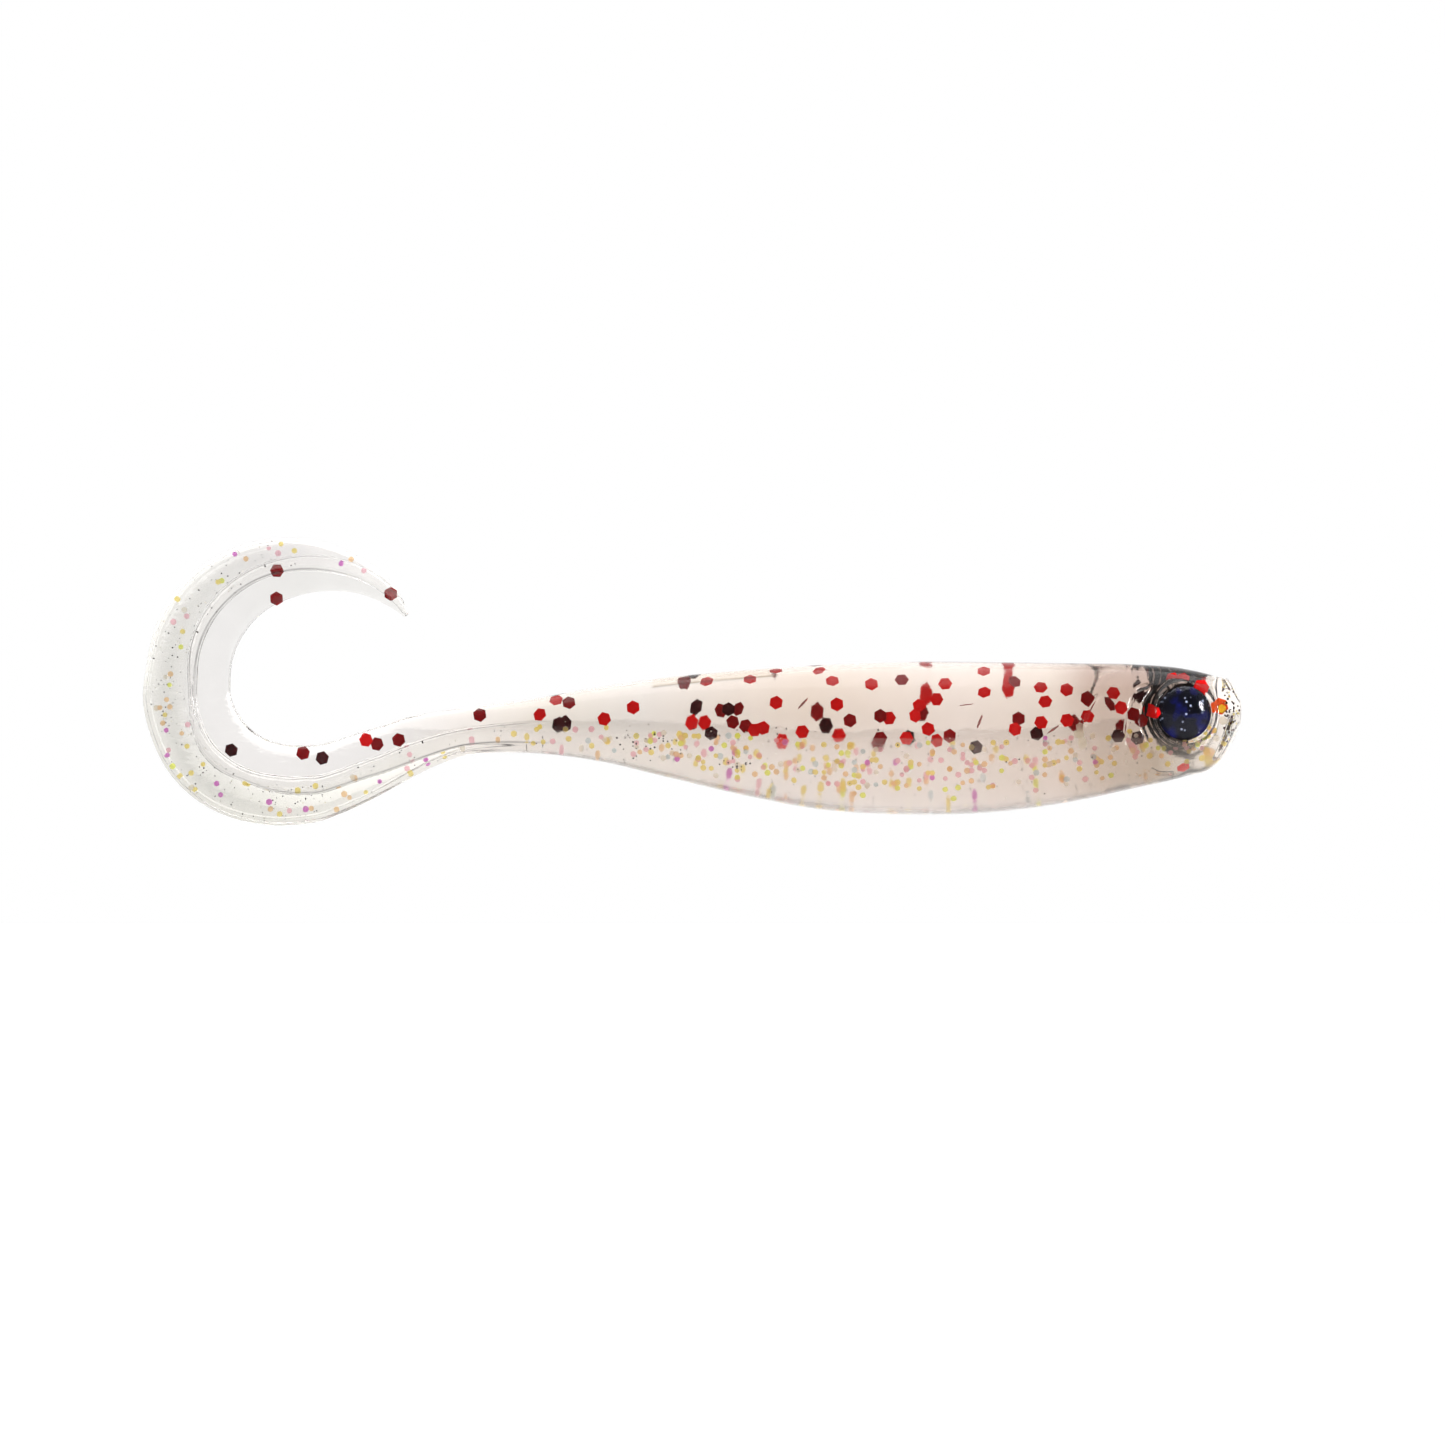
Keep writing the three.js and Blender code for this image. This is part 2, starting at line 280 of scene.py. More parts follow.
# %% Oval body and ribbed ribbon
OVAL, RIBBON_EDGE = 2.3, 7.0
RIB_PLACES = [66, 70, 76, 82, 86] + [u_at(d) for d in (-108, -122, -137, -150, -164, -181)]
RIB_PLACES += [u_at(d) for d in (-192, -225, -263, -285, -323)]
RIB_TOPS = [0.44, 0.46, 0.46, 0.44, 0.43, 0.42, 0.43, 0.44, 0.45, 0.44, 0.41]
RIB_TOPS += [0.42, 0.44, 0.46, 0.46, 0.46]
RIB_FEET = [0.80, 0.78, 0.74, 0.63, 0.61, 0.56, 0.53, 0.56, 0.56, 0.51, 0.46]
RIB_FEET += [0.49, 0.56, 0.65, 0.74, 0.8]

rib_top = through(RIB_PLACES, RIB_TOPS, np.maximum(ROW_U, RIB_PLACES[0]))[:, None]
rib_foot = through(RIB_PLACES, RIB_FEET, np.maximum(ROW_U, RIB_PLACES[0]))[:, None]
DEPTH_AT = (BELLY_AT - BACK_AT)[:, None]
from_inner = SHARE * DEPTH_AT
from_outer = (1 - SHARE) * DEPTH_AT


def ribbon(share):
    """Half thickness of the tail across its width, as a share of the rib's."""
    edge = (1 - np.clip(abs(2 * share - 1), 0, 1) ** RIBBON_EDGE) ** (1 / RIBBON_EDGE)
    ramp = 0.13 / DEPTH_AT
    rib = eased(share, rib_top - ramp, rib_top + ramp * 0.6) * (
        1 - eased(share, rib_foot - ramp * 0.6, rib_foot + ramp)
    )
    inner = 0.4 + 0.13 * eased(from_inner, 0.12, 0.42)
    lens = np.sin(math.pi * np.clip((share - rib_foot) / (1 - rib_foot), 0, 1))
    bead = 0.14 * np.exp(-(((from_outer - 0.55) / 0.16) ** 2))
    outer = 0.42 + 0.18 * lens + bead
    blade = np.where(share < (rib_top + rib_foot) / 2, inner, outer)
    return edge * (blade + (1 - blade) * rib)


oval = (1 - np.clip(abs(2 * SHARE - 1), 0, 1) ** OVAL) ** (1 / OVAL)
FLATNESS = eased(ROW_U, 64.0, 79.5)[:, None]
HALF = HALF_AT[:, None] * (oval * (1 - FLATNESS) + ribbon(SHARE) * FLATNESS)
print("thickest", round(float(HALF.max()), 2), "mm, thinnest rib", round(float(HALF_AT[-1]), 2))

# %% The plain skin, one side of it
SKIN = BACK_LINE[:, None, :] + (BELLY_LINE - BACK_LINE)[:, None, :] * SHARE[:, :, None]
SKIN[:, :, 1] = HALF

# %% Round the nose and close both ends
NOSE_CORNER, CORNER_RUN = 0.09, 0.16
END_RINGS = [0.8, 0.55, 0.3, 0.1]


def shrunk(ring, scale):
    """The same ring, drawn in towards its middle."""
    middle = (ring[0] + ring[-1]) / 2
    return middle + (ring - middle) * scale


for i, u in enumerate(ROW_U[: int(6 * CORNER_RUN / HEAD_STEP)]):
    SKIN[i] = shrunk(SKIN[i], 1 - NOSE_CORNER * math.exp(-u / CORNER_RUN))
nose_rings = [shrunk(SKIN[0], s) for s in END_RINGS[::-1]]
along_tip = SKIN[-1].mean(0) - SKIN[-2].mean(0)
along_tip /= np.linalg.norm(along_tip)
tip_rings = [
    shrunk(SKIN[-1], s) + along_tip * 0.35 * math.sqrt(1 - s * s) for s in END_RINGS
]
SKIN = np.concatenate((nose_rings, SKIN, tip_rings))
ADDED = len(END_RINGS)
ROW_U = np.concatenate(([0] * ADDED, ROW_U, [ROW_U[-1]] * ADDED))
cut_rows = [0] + [r + ADDED for r in cut_rows[1:-1]] + [len(ROW_U) - 1]


# %% Normals of the grid
def skin_normals(skin):
    """Outward normals, with the far side mirrored in so that the two edges come out smooth."""
    mirror = np.array((1, -1, 1))
    wide = np.concatenate((skin[:, 1:2] * mirror, skin, skin[:, -2:-1] * mirror), axis=1)
    down = wide[:, 2:] - wide[:, :-2]
    along = np.gradient(skin, axis=0)
    normal = np.cross(down, along)
    normal = normal / np.maximum(np.linalg.norm(normal, axis=2, keepdims=True), 1e-12)
    return -normal if normal[len(normal) // 4, ARC, 1] < 0 else normal


NORMAL = skin_normals(SKIN)
print("side normal", NORMAL[120, ARC].round(2))

# %% [markdown]
# ## Face
# The mould cuts a face into the plastic: a round socket with a raised rim for the eye,
# a gill plate that stands proud of the body behind it, two fine arcs between gill and eye,
# a jaw line, and a mouth with a flat lip. On thin clear plastic these lines show because they
# bend light, so they are real shape here and not a painted line. Each is a short curve in the
# side plane, and the skin moves along its own normal by how near that curve is.

# %% Distance from the skin to a drawn line
def drawn(points, count=60):
    """Points along a smooth line through a few corners, given as (x, z) in millimetres."""
    points = np.array(points, float)
    run = np.concatenate(([0], np.cumsum(np.linalg.norm(np.diff(points, axis=0), axis=1))))
    at = np.linspace(0, run[-1], count)
    return np.stack((through(run, points[:, 0], at), through(run, points[:, 1], at)), 1)


def distance_to(line, skin):
    """How far each point of the skin lies from a drawn line, seen from the side."""
    gaps = skin[:, :, None, (0, 2)] - line[None, None]
    return np.sqrt((gaps**2).sum(3)).min(2)


# %% Lines of the face
GILL = [(-11.0, 3.5), (-11.2, 2.9), (-13.3, 1.6), (-14.2, 0.2)]
GILL += [(-14.6, -2.0), (-13.6, -3.7), (-12.4, -4.7), (-9.7, -5.8)]
OUTER_ARC = [(-8.7, 2.6), (-9.8, 2.1), (-10.5, 0.0), (-10.8, -2.2), (-10.5, -3.6)]
INNER_ARC = [(-8.4, 2.2), (-9.1, 1.0), (-9.4, -1.0), (-8.8, -2.7)]
JAW = [(-8.4, -5.2), (-7.6, -5.55), (-6.4, -5.6)]
MOUTH = [(-0.95, -0.3), (-1.35, -1.6), (-1.9, -3.2), (-2.35, -4.1)]
LIP = [(-0.2, -1.9), (-0.75, -3.2), (-1.55, -4.35)]
GROOVES = [  # line, depth, half width
    (GILL, 0.16, 0.16),
    (OUTER_ARC, 0.17, 0.13),
    (INNER_ARC, 0.12, 0.12),
    (JAW, 0.16, 0.12),
    (MOUTH, 0.42, 0.14),
    (LIP, 0.3, 0.11),
]

# %% Press the grooves and raise the gill plate
HEAD_ROWS = int((ROW_U < 16.5).sum())
head = SKIN[:HEAD_ROWS]
press = np.zeros(head.shape[:2])
for line, depth, wide in GROOVES:
    press -= depth * np.exp(-((distance_to(drawn(line), head) / wide) ** 2))

gill_line = drawn(GILL)
order = np.argsort(gill_line[:, 1])
gill_x = np.interp(head[:, :, 2], gill_line[order, 1], gill_line[order, 0])
ahead = head[:, :, 0] - gill_x
GILL_STEP, GILL_RUN, GILL_FADE = 0.2, 0.2, 4.2
gill_ends = (1 - eased(head[:, :, 2], 0.8, 2.2)) * eased(head[:, :, 2], -3.8, -2.2)
press = np.where(head[:, :, 0] < -9.8, press * np.clip(gill_ends + 0.06, 0, 1), press)
press += (
    GILL_STEP
    * eased(ahead, -0.1, GILL_RUN)
    * (1 - eased(ahead, 0.6, GILL_FADE))
    * eased(head[:, :, 2], -4.4, -2.4)
    * (1 - eased(head[:, :, 2], 0.4, 1.8))
)
side_on = eased(abs(NORMAL[:HEAD_ROWS, :, 1]), 0.05, 0.35)
SKIN[:HEAD_ROWS] += NORMAL[:HEAD_ROWS] * (press * side_on)[:, :, None]
print("deepest groove", round(float(press.min()), 2), "mm")

# %% Eye place, read from its solid
foil_low, foil_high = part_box("left_eye_foil")
EYE = np.array((foil_low + foil_high) / 2) / MM
EYE[1] = abs(EYE[1])
EYE_TURN = math.radians(12)
EYE_RADIUS, SOCKET_RADIUS = 2.5, 2.62
SOCKET_DEPTH, BALL_DEPTH, CROWN, FACE_OUT = 1.75, 1.66, 0.95, 0.35
BOWL_POWER, EDGE_SOFT = 2.6, 0.12  # how flat the bowl's floor is, and half the width of its lip
RIM_HEIGHT, RIM_OUT, RIM_WIDE = 0.2, 0.22, 0.2
EYE_AXIS = np.array((math.sin(EYE_TURN), math.cos(EYE_TURN), 0))
EYE_FACE = EYE + EYE_AXIS * FACE_OUT
print("eye at", EYE.round(2))

# %% Press the eye socket
head = SKIN[:HEAD_ROWS]
slide = head[:, :, 0] - EYE_FACE[0]
rise = head[:, :, 2] - EYE_FACE[2]
face_y = EYE_FACE[1] - math.tan(EYE_TURN) * slide
off_axis = np.sqrt((slide / math.cos(EYE_TURN)) ** 2 + rise**2)
bowl = SOCKET_DEPTH * np.clip(1 - (off_axis / SOCKET_RADIUS) ** BOWL_POWER, 0, 1)
bowl_y = face_y - bowl
inside = 1 - eased(off_axis, SOCKET_RADIUS - EDGE_SOFT, SOCKET_RADIUS + EDGE_SOFT)
rim = RIM_HEIGHT * np.exp(-(((off_axis - SOCKET_RADIUS - RIM_OUT) / RIM_WIDE) ** 2))
level = np.where(rise > -2.2, eased(head[:, :, 1], 0.4, 1.2), 1)
outer_y = head[:, :, 1] + rim * level
pressed_y = np.minimum(bowl_y, head[:, :, 1] + 0.05)
SKIN[:HEAD_ROWS, :, 1] = np.maximum(outer_y * (1 - inside) + pressed_y * inside, 0)
SKIN[:, (0, -1), 1] = 0
NORMAL = skin_normals(SKIN)
print("socket floor at y", round(float(bowl_y.min()), 2), "mm")

# %% [markdown]
# ## Plastic
# Both shots are the same soft clear vinyl. It passes most light straight on, scatters a
# little, and gathers a warm tint with thickness: the deep head looks beige and the thin tail
# almost clear. A Principled shader with high transmission gives the bending and mirroring.
# A volume would tint by thickness too, but not across castings that lie face to face, so the
# tint is worked out from the skin's own half thickness.
# The tint rides on the mesh as a colour, and so does each point's place at rest, so that the
# mottling and the fine surface ripple stay put when the bait bends.

# %% Tint along the bait
TINTS = [  # u, then what the back passes and what the belly passes, in red, green and blue
    (0, (0.96, 0.94, 0.92), (0.98, 0.96, 0.93)),
    (3, (0.86, 0.82, 0.78), (0.88, 0.83, 0.77)),
    (8, (0.57, 0.48, 0.43), (0.50, 0.42, 0.34)),
    (13, (0.54, 0.455, 0.405), (0.61, 0.52, 0.45)),
    (17, (0.66, 0.60, 0.555), (0.76, 0.68, 0.63)),
    (26, (0.71, 0.655, 0.625), (0.82, 0.76, 0.725)),
    (40, (0.66, 0.59, 0.535), (0.83, 0.78, 0.75)),
    (55, (0.67, 0.64, 0.615), (0.82, 0.77, 0.72)),
    (64, (0.67, 0.63, 0.58), (0.79, 0.74, 0.70)),
    (72, (0.76, 0.72, 0.69), (0.87, 0.84, 0.80)),
    (80, (0.88, 0.86, 0.85), (0.85, 0.84, 0.80)),
    (90, (0.89, 0.87, 0.86), (0.77, 0.76, 0.71)),
    (112, (0.89, 0.88, 0.87), (0.91, 0.90, 0.87)),
    (120, (0.87, 0.86, 0.84), (0.90, 0.88, 0.87)),
    (131, (0.92, 0.91, 0.89), (0.95, 0.94, 0.91)),
]
ABSORBED = np.array((0.020, 0.036, 0.050))  # red, green and blue lost in each millimetre
SEAM_BLUR = 12  # columns over which one shot's tint turns into the other's

tint_keys = [row[0] for row in TINTS]
back_tint, belly_tint = (
    np.stack([np.interp(ROW_U, tint_keys, [row[shot][c] for row in TINTS]) for c in range(3)], 1)
    for shot in (1, 2)
)
column = np.arange(2 * ARC + 1)
belly_share = eased(column, ARC - SEAM_BLUR, ARC + SEAM_BLUR)[None, :, None]
TINT = back_tint[:, None] * (1 - belly_share) + belly_tint[:, None] * belly_share
TINT = TINT * np.exp(-ABSORBED * SKIN[:, :, 1:2])


def stretch(rise_start, rise_end, fall_start, fall_end):
    """One number for each row: 1 over a stretch of u, easing in and out at its ends."""
    return (eased(ROW_U, rise_start, rise_end) * (1 - eased(ROW_U, fall_start, fall_end)))[:, None]


# %% Marks in the pour, mostly painted shade
# A darker band inside the outer blade, partly real haze and partly painted shade; painted shade
# over the top of the head; a painted land and painted dark lines on the back; and a painted dark
# hairline along both edges of the rib.
HAZE_AND_SHADE, HAZE_AND_SHADE_COLUMN, HAZE_AND_SHADE_WIDE = 0.15, 2 * ARC - 38, 13
CROWN_SHADE, CROWN_COLUMNS = np.array((0.28, 0.36, 0.38)), (20, 48)
LAND_DEEP, LAND_LINE, LAND_SHADE = 0.75, 0.6, np.array((0.14, 0.20, 0.29))
LAND_LINE_WIDE, RIDGE_LINE, RIDGE_LINE_WIDE = 0.1, 0.8, 0.12
RIB_LINE, RIB_LINE_WIDE, RIB_LINE_FAINTER = 0.85, 0.08, 0.6


def darken(amount):
    """Takes a share of the light away at every point of the skin, alike in every colour."""
    return (1 - amount)[:, :, None]


# A darker band inside the outer blade of the curl: partly real haze, partly painted shade where the
# lens-shaped blade bends light.
hazy_and_shaded = stretch(u_at(-95), u_at(-140), u_at(-245), u_at(-290))
TINT *= darken(HAZE_AND_SHADE * hazy_and_shaded * np.exp(-(((column - HAZE_AND_SHADE_COLUMN) / HAZE_AND_SHADE_WIDE) ** 2)))
# Painted shade: the top of the head darker than its sides.
crown = stretch(3, 8, 13, 19) * (1 - eased(column, *CROWN_COLUMNS))
TINT *= 1 - CROWN_SHADE * crown[:, :, None]
drop = SKIN[:, :1, 2] - SKIN[:, :, 2]
# Painted shade: a darker band from the back's edge down to the land, and a painted dark line at its
# foot, in place of the step that would bend light there.
land = stretch(42.6, 43.0, 54.2, 54.6)
line = land * np.exp(-(((drop - LAND_DEEP) / LAND_LINE_WIDE) ** 2))
TINT *= 1 - LAND_LINE * line[:, :, None] - LAND_SHADE * (land * (drop < LAND_DEEP))[:, :, None]
# Painted shade: a dark line along the ridge of the head and fore body, where light bent at the
# clear edge shows dark.
TINT *= darken(RIDGE_LINE * stretch(6, 10, 26, 34) * np.exp(-((drop / RIDGE_LINE_WIDE) ** 2)))
# Painted shade: dark hairlines along both edges of the rib, where its steps bend light, fainter
# over the heel.
rib_lines = stretch(62, 68, u_at(-270), u_at(-310))
rib_lines *= 1 - RIB_LINE_FAINTER * stretch(88, 94, 104, 110)
here = np.pad(SHARE, ((ADDED, ADDED), (0, 0)), mode="edge")
deep = np.pad(DEPTH_AT[:, 0], ADDED, mode="edge")[:, None]
for edge_share in (rib_top, rib_foot):
    edge = np.pad(edge_share[:, 0], ADDED, mode="edge")[:, None]
    near = np.exp(-(((here - edge) * deep / RIB_LINE_WIDE) ** 2))
    TINT *= darken(RIB_LINE * rib_lines * near)
print("tint of the deepest place", TINT[cut_rows[1] // 2, ARC].round(2))


# %% Node helpers
def adder(tree):
    """A function that adds a node to a tree, links its inputs and sets it up by name."""

    def add(kind, links=(), **settings):
        node = tree.nodes.new(kind)
        for key, value in settings.items():
            if hasattr(node, key):
                setattr(node, key, value)
            else:
                node.inputs[key.replace("_", " ")].default_value = value
        for socket, target in links:
            tree.links.new(socket, node.inputs[target])
        return node

    return add


def new_finish(name):
    """An empty node material: its node tree, its shader and a function that adds a node."""
    material = bpy.data.materials.new(name)
    material.use_nodes = True
    tree = material.node_tree
    tree.nodes.clear()
    shader = tree.nodes.new("ShaderNodeBsdfPrincipled")
    output = tree.nodes.new("ShaderNodeOutputMaterial")
    tree.links.new(shader.outputs[0], output.inputs[0])
    return material, tree, shader, adder(tree)


def at_rest(add):
    """Where each point is when the bait is at rest, as a socket to link from."""
    return add("ShaderNodeAttribute", attribute_name="rest_place").outputs["Vector"]


def set_sockets(shader, **values):
    """Sets sockets by name, with an underscore for each space in the name."""
    for key, value in values.items():
        shader.inputs[key.replace("_", " ")].default_value = value


# %% Clear back and pearl belly
SHINE = 0.4  # soft vinyl mirrors less than its refraction alone would give


def vinyl(name, transmission, roughness, mottle_low, ripple):
    """Soft vinyl whose tint comes from the mesh, mottled by noise, with a rippled face."""
    material, tree, shader, add = new_finish(name)
    tint = add("ShaderNodeAttribute", attribute_name="tint")
    place = at_rest(add)
    cloud = add("ShaderNodeTexNoise", [(place, "Vector")], Scale=0.55, Detail=4.0)
    ends = {"To_Min": mottle_low, "To_Max": 2 - mottle_low}
    mottle = add("ShaderNodeMapRange", [(cloud.outputs[0], "Value")], **ends)
    tinted = [(tint.outputs["Color"], 0), (mottle.outputs[0], 1)]
    shade = add("ShaderNodeVectorMath", tinted, operation="MULTIPLY")
    tree.links.new(shade.outputs[0], shader.inputs["Base Color"])
    streak = add("ShaderNodeVectorMath", [(place, 0)], operation="MULTIPLY")
    streak.inputs[1].default_value = (0.5, 1.0, 1.3)
    fine = add("ShaderNodeTexNoise", [(streak.outputs[0], "Vector")], Scale=1.1, Detail=3.0)
    bump = add("ShaderNodeBump", [(fine.outputs[0], "Height")], Strength=ripple, Distance=0.0002)
    tree.links.new(bump.outputs[0], shader.inputs["Normal"])
    set_sockets(shader, Roughness=roughness, IOR=1.46, Transmission_Weight=transmission)
    set_sockets(shader, Specular_Tint=(SHINE, SHINE, SHINE, 1))
    return material


CLEAR = vinyl("clear_vinyl", 0.992, 0.10, 0.96, 0.10)
PEARL = vinyl("pearl_vinyl", 0.92, 0.16, 0.94, 0.16)

# %% The fused face between shots and lengths
# Where two shots or two lengths meet, the real plastic is one body, so light isn't bent there.
FUSED, _, fused_shader, _ = new_finish("fused_face")
set_sockets(fused_shader, Alpha=0.0, Roughness=1.0)

# %% [markdown]
# ## Slicing the skin into castings
# Each length gets two closed meshes, back and belly, which match the solids of the frame.
# A casting is a ring of points repeated down its rows: down the right side, and up the left.
# Its outside is vinyl, and the faces where it was sliced are the fused finish.

# %% Faces of one casting
def casting_faces(rows):
    """Quads for rows of rings whose first point is on the middle line, then ARC points a side."""
    ring = 2 * ARC + 1
    right = np.arange(ARC + 1)
    left = np.concatenate(([0], np.arange(ARC + 1, ring)))
    base = (np.arange(rows - 1) * ring)[:, None]
    a, b = right[:-1][None], right[1:][None]
    c, d = left[:-1][None], left[1:][None]
    right_side = np.stack([base + a, base + ring + a, base + ring + b, base + b], 2)
    left_side = np.stack([base + d, base + ring + d, base + ring + c, base + c], 2)
    seam = np.stack([base + ARC, base + ring + ARC, base + ring + ring - 1, base + ring - 1], 2)
    skin = np.concatenate((right_side.reshape(-1, 4), left_side.reshape(-1, 4)))
    ladder = [np.stack([right[1:-1], right[2:], left[2:], left[1:-1]], 1)]
    point = [(0, 1, ARC + 1)]
    end = (rows - 1) * ring
    first_end = point + [tuple(q) for q in ladder[0]]
    last_end = [tuple(end + v for v in reversed(f)) for f in first_end]
    return skin, seam.reshape(-1, 4), first_end, last_end


# %% Make one casting
def casting(name, first, last, above, vinyl_finish):
    """One shot of one length, from row first to row last of the skin."""
    columns = slice(0, ARC + 1) if above else slice(2 * ARC, ARC - 1, -1)
    half = SKIN[first : last + 1, columns]
    normals = NORMAL[first : last + 1, columns]
    mirror = np.array((1, -1, 1))
    rings = np.concatenate((half, half[:, 1:] * mirror), axis=1)
    ring_normals = np.concatenate((normals, normals[:, 1:] * mirror), axis=1)
    points, point_normals = rings.reshape(-1, 3), ring_normals.reshape(-1, 3)
    skin, seam, first_end, last_end = casting_faces(len(half))
    faces = [tuple(f) for f in skin] + [tuple(f) for f in seam] + first_end + last_end
    sample = points[skin[len(skin) // 4]]
    facing = np.cross(sample[1] - sample[0], sample[2] - sample[0])
    if facing @ point_normals[skin[len(skin) // 4][0]] < 0:
        faces = [tuple(reversed(f)) for f in faces]
    mesh = bpy.data.meshes.new(name)
    mesh.from_pydata((points * MM).tolist(), [], [tuple(map(int, f)) for f in faces])
    mesh.materials.append(vinyl_finish)
    mesh.materials.append(FUSED)
    ends_open = [first > 0, last < len(SKIN) - 1]
    kinds = [0] * len(skin) + [1] * len(seam)
    kinds += [int(ends_open[0])] * len(first_end) + [int(ends_open[1])] * len(last_end)
    mesh.polygons.foreach_set("material_index", kinds)
    mesh.polygons.foreach_set("use_smooth", [i < len(skin) for i in range(len(faces))])
    tint = TINT[first : last + 1, columns]
    paint(mesh, points, np.concatenate((tint, tint[:, 1:]), axis=1).reshape(-1, 3))
    loops = np.zeros(len(mesh.loops), int)
    mesh.loops.foreach_get("vertex_index", loops)
    split = point_normals[loops]
    split[4 * len(skin) :] = 0
    mesh.normals_split_custom_set(split.tolist())
    return placed(name, mesh)


def paint(mesh, points, tints):
    """Stores each point's tint and its place at rest, in millimetres."""
    colour = mesh.attributes.new("tint", "FLOAT_COLOR", "POINT")
    colour.data.foreach_set("color", np.c_[tints, np.ones(len(tints))].astype(np.float32).ravel())
    place = mesh.attributes.new("rest_place", "FLOAT_VECTOR", "POINT")
    place.data.foreach_set("vector", points.astype(np.float32).ravel())


# %% [markdown]
# ## The lengths and their joints
# A casting that crosses a joint lies between one body at its front and the next at its back.
# The table names both bodies and a blend line for each length, which starts and ends inside
# the length, and the solids of the frame that the length stands for.

# %% Bodies and blend lines of the nine lengths
def on_spoke(degrees, push, radius=9.0):
    """A point near a spoke, pushed along the ribbon's run."""
    a = math.radians(degrees)
    spoke, run = np.array((math.cos(a), 0, math.sin(a))), np.array((math.sin(a), 0, -math.cos(a)))
    return tuple((CURL_CENTRE + spoke * radius + run * push) * MM)


LENGTHS = [  # name, body before, body after, blend start, blend end, solids it stands for
    ("front", "body", "rear_body", (-0.0375, 0, 0), (-0.0545, 0, 0), ("front", "rear")),
    ("wrist", "rear_body", "wrist", (-0.0566, 0, 0), (-0.0694, 0, 0), ("wrist",)),
    ("root", "wrist", "tail_1", (-0.0704, 0, 0), (-0.0796, 0, 0), ("tail_1",)),
    ("heel", "tail_1", "tail_2", (-0.0812, 0, -0.0045), (-0.0868, 0, -0.0085), ("tail_2",)),
]
BENDS = [(-118, 1.6), (-158, 1.9), (-198, 2.2), (-238, 2.7), (-278, 3.2)]
for i, (degrees, reach) in enumerate(BENDS):
    before, after = f"tail_{i + 2}", f"tail_{i + 3}"
    start, end = on_spoke(degrees, -reach), on_spoke(degrees, reach)
    LENGTHS.append((f"curl_{i + 1}", before, after, start, end, (after,)))
print("lengths:", [row[0] for row in LENGTHS])

# %% Cast both shots of every length
for i, (name, before, after, start, end, solids) in enumerate(LENGTHS):
    for above in (True, False):
        shot = "back" if above else "belly"
        shot_vinyl = CLEAR if above else PEARL
        piece = casting(f"{name}_{shot}", cut_rows[i], cut_rows[i + 1], above, shot_vinyl)
        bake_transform(piece)
        for solid in solids:
            blade = "inner" if above else "outer"
            node = f"{solid}_{blade}_blade" if "tail" in solid else f"{solid}_{shot}_pour"
            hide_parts(node)
print("castings made:", 2 * len(LENGTHS))

# %% [markdown]
# ## Flakes
# The red flakes and the finer glitter are hexagons punched from coated film, stirred into
# the plastic before it is poured. They are far too thin to model as anything but plates, but
# their shape shows, so each is a real closed six-sided plate a few hundredths of a millimetre
# thick. The large red ones nearest the outside have listed places. The rest are scattered by a
# seeded random draw, so every run gives the same bait.

# %% Finishes of the flakes
def film(name, colour, metal, rough, sheer=0.0):
    """Coated film: a dye over a foil, faintly speckled. A sheer film lets light through."""
    material, tree, shader, add = new_finish(name)
    place = at_rest(add)
    speckle = add("ShaderNodeTexNoise", [(place, "Vector")], Scale=9.0, Detail=2.0)
    grade = add("ShaderNodeMapRange", [(speckle.outputs[0], "Value")], To_Min=0.8, To_Max=1.15)
    shade = add("ShaderNodeVectorMath", [(grade.outputs[0], 1)], operation="MULTIPLY")
    shade.inputs[0].default_value = colour
    tree.links.new(shade.outputs[0], shader.inputs["Base Color"])
    set_sockets(shader, Roughness=rough, Metallic=metal, Transmission_Weight=sheer)
    set_sockets(shader, IOR=1.1 if sheer else 1.5, Specular_IOR_Level=0.05)
    return material


FILMS = [
    film("red_film", (0.76, 0.004, 0.005), 0.0, 0.35),
    # The next two films are shaded copies of the red film: painted shade for flakes that catch less
    # light.
    film("shaded_red_film", (0.26, 0.002, 0.004), 0.1, 0.35),
    film("deep_shaded_red_film", (0.045, 0.002, 0.004), 0.1, 0.4),
    film("gold_film", (1.0, 0.84, 0.26), 0.0, 0.3, 0.85),
    film("orange_film", (1.0, 0.71, 0.42), 0.0, 0.3, 0.85),
    film("pink_film", (1.0, 0.62, 0.70), 0.0, 0.3, 0.85),
    film("magenta_film", (0.80, 0.22, 0.72), 0.0, 0.3, 0.7),
    film("blue_white_film", (0.86, 0.96, 1.00), 0.0, 0.25, 0.4),
    film("green_film", (0.93, 0.98, 0.18), 0.0, 0.3, 0.85),
    film("pearl_film", (1.0, 0.95, 0.86), 0.0, 0.3, 0.6),
    film("pepper", (0.05, 0.04, 0.04), 0.0, 0.5),
    film("orange_red_film", (0.90, 0.10, 0.01), 0.0, 0.35),
    film("yellow_film", (1.0, 0.55, 0.02), 0.0, 0.35),
    # A sheer pale film that stands for a painted highlight on the gill plate.
    film("painted_gill_highlight_film", (1.0, 1.0, 0.92), 0.0, 0.4, 0.9),
]
RED, SHADED_RED, DEEP_SHADED_RED, GOLD, ORANGE, PINK, MAGENTA, BLUE, GREEN, PALE, PEPPER = range(11)
ORANGE_RED, YELLOW, GILL_HIGHLIGHT = 11, 12, 13

# %% Where the outside of the bait is
draw = np.random.default_rng(41)
flat_x, flat_z = SKIN[:, :, 0].ravel(), SKIN[:, :, 2].ravel()


def outside_at(x, z):
    """The row and column of the skin nearest to a place in the side plane."""
    nearest = int(np.argmin((flat_x - x) ** 2 + (flat_z - z) ** 2))
    return divmod(nearest, SKIN.shape[1])


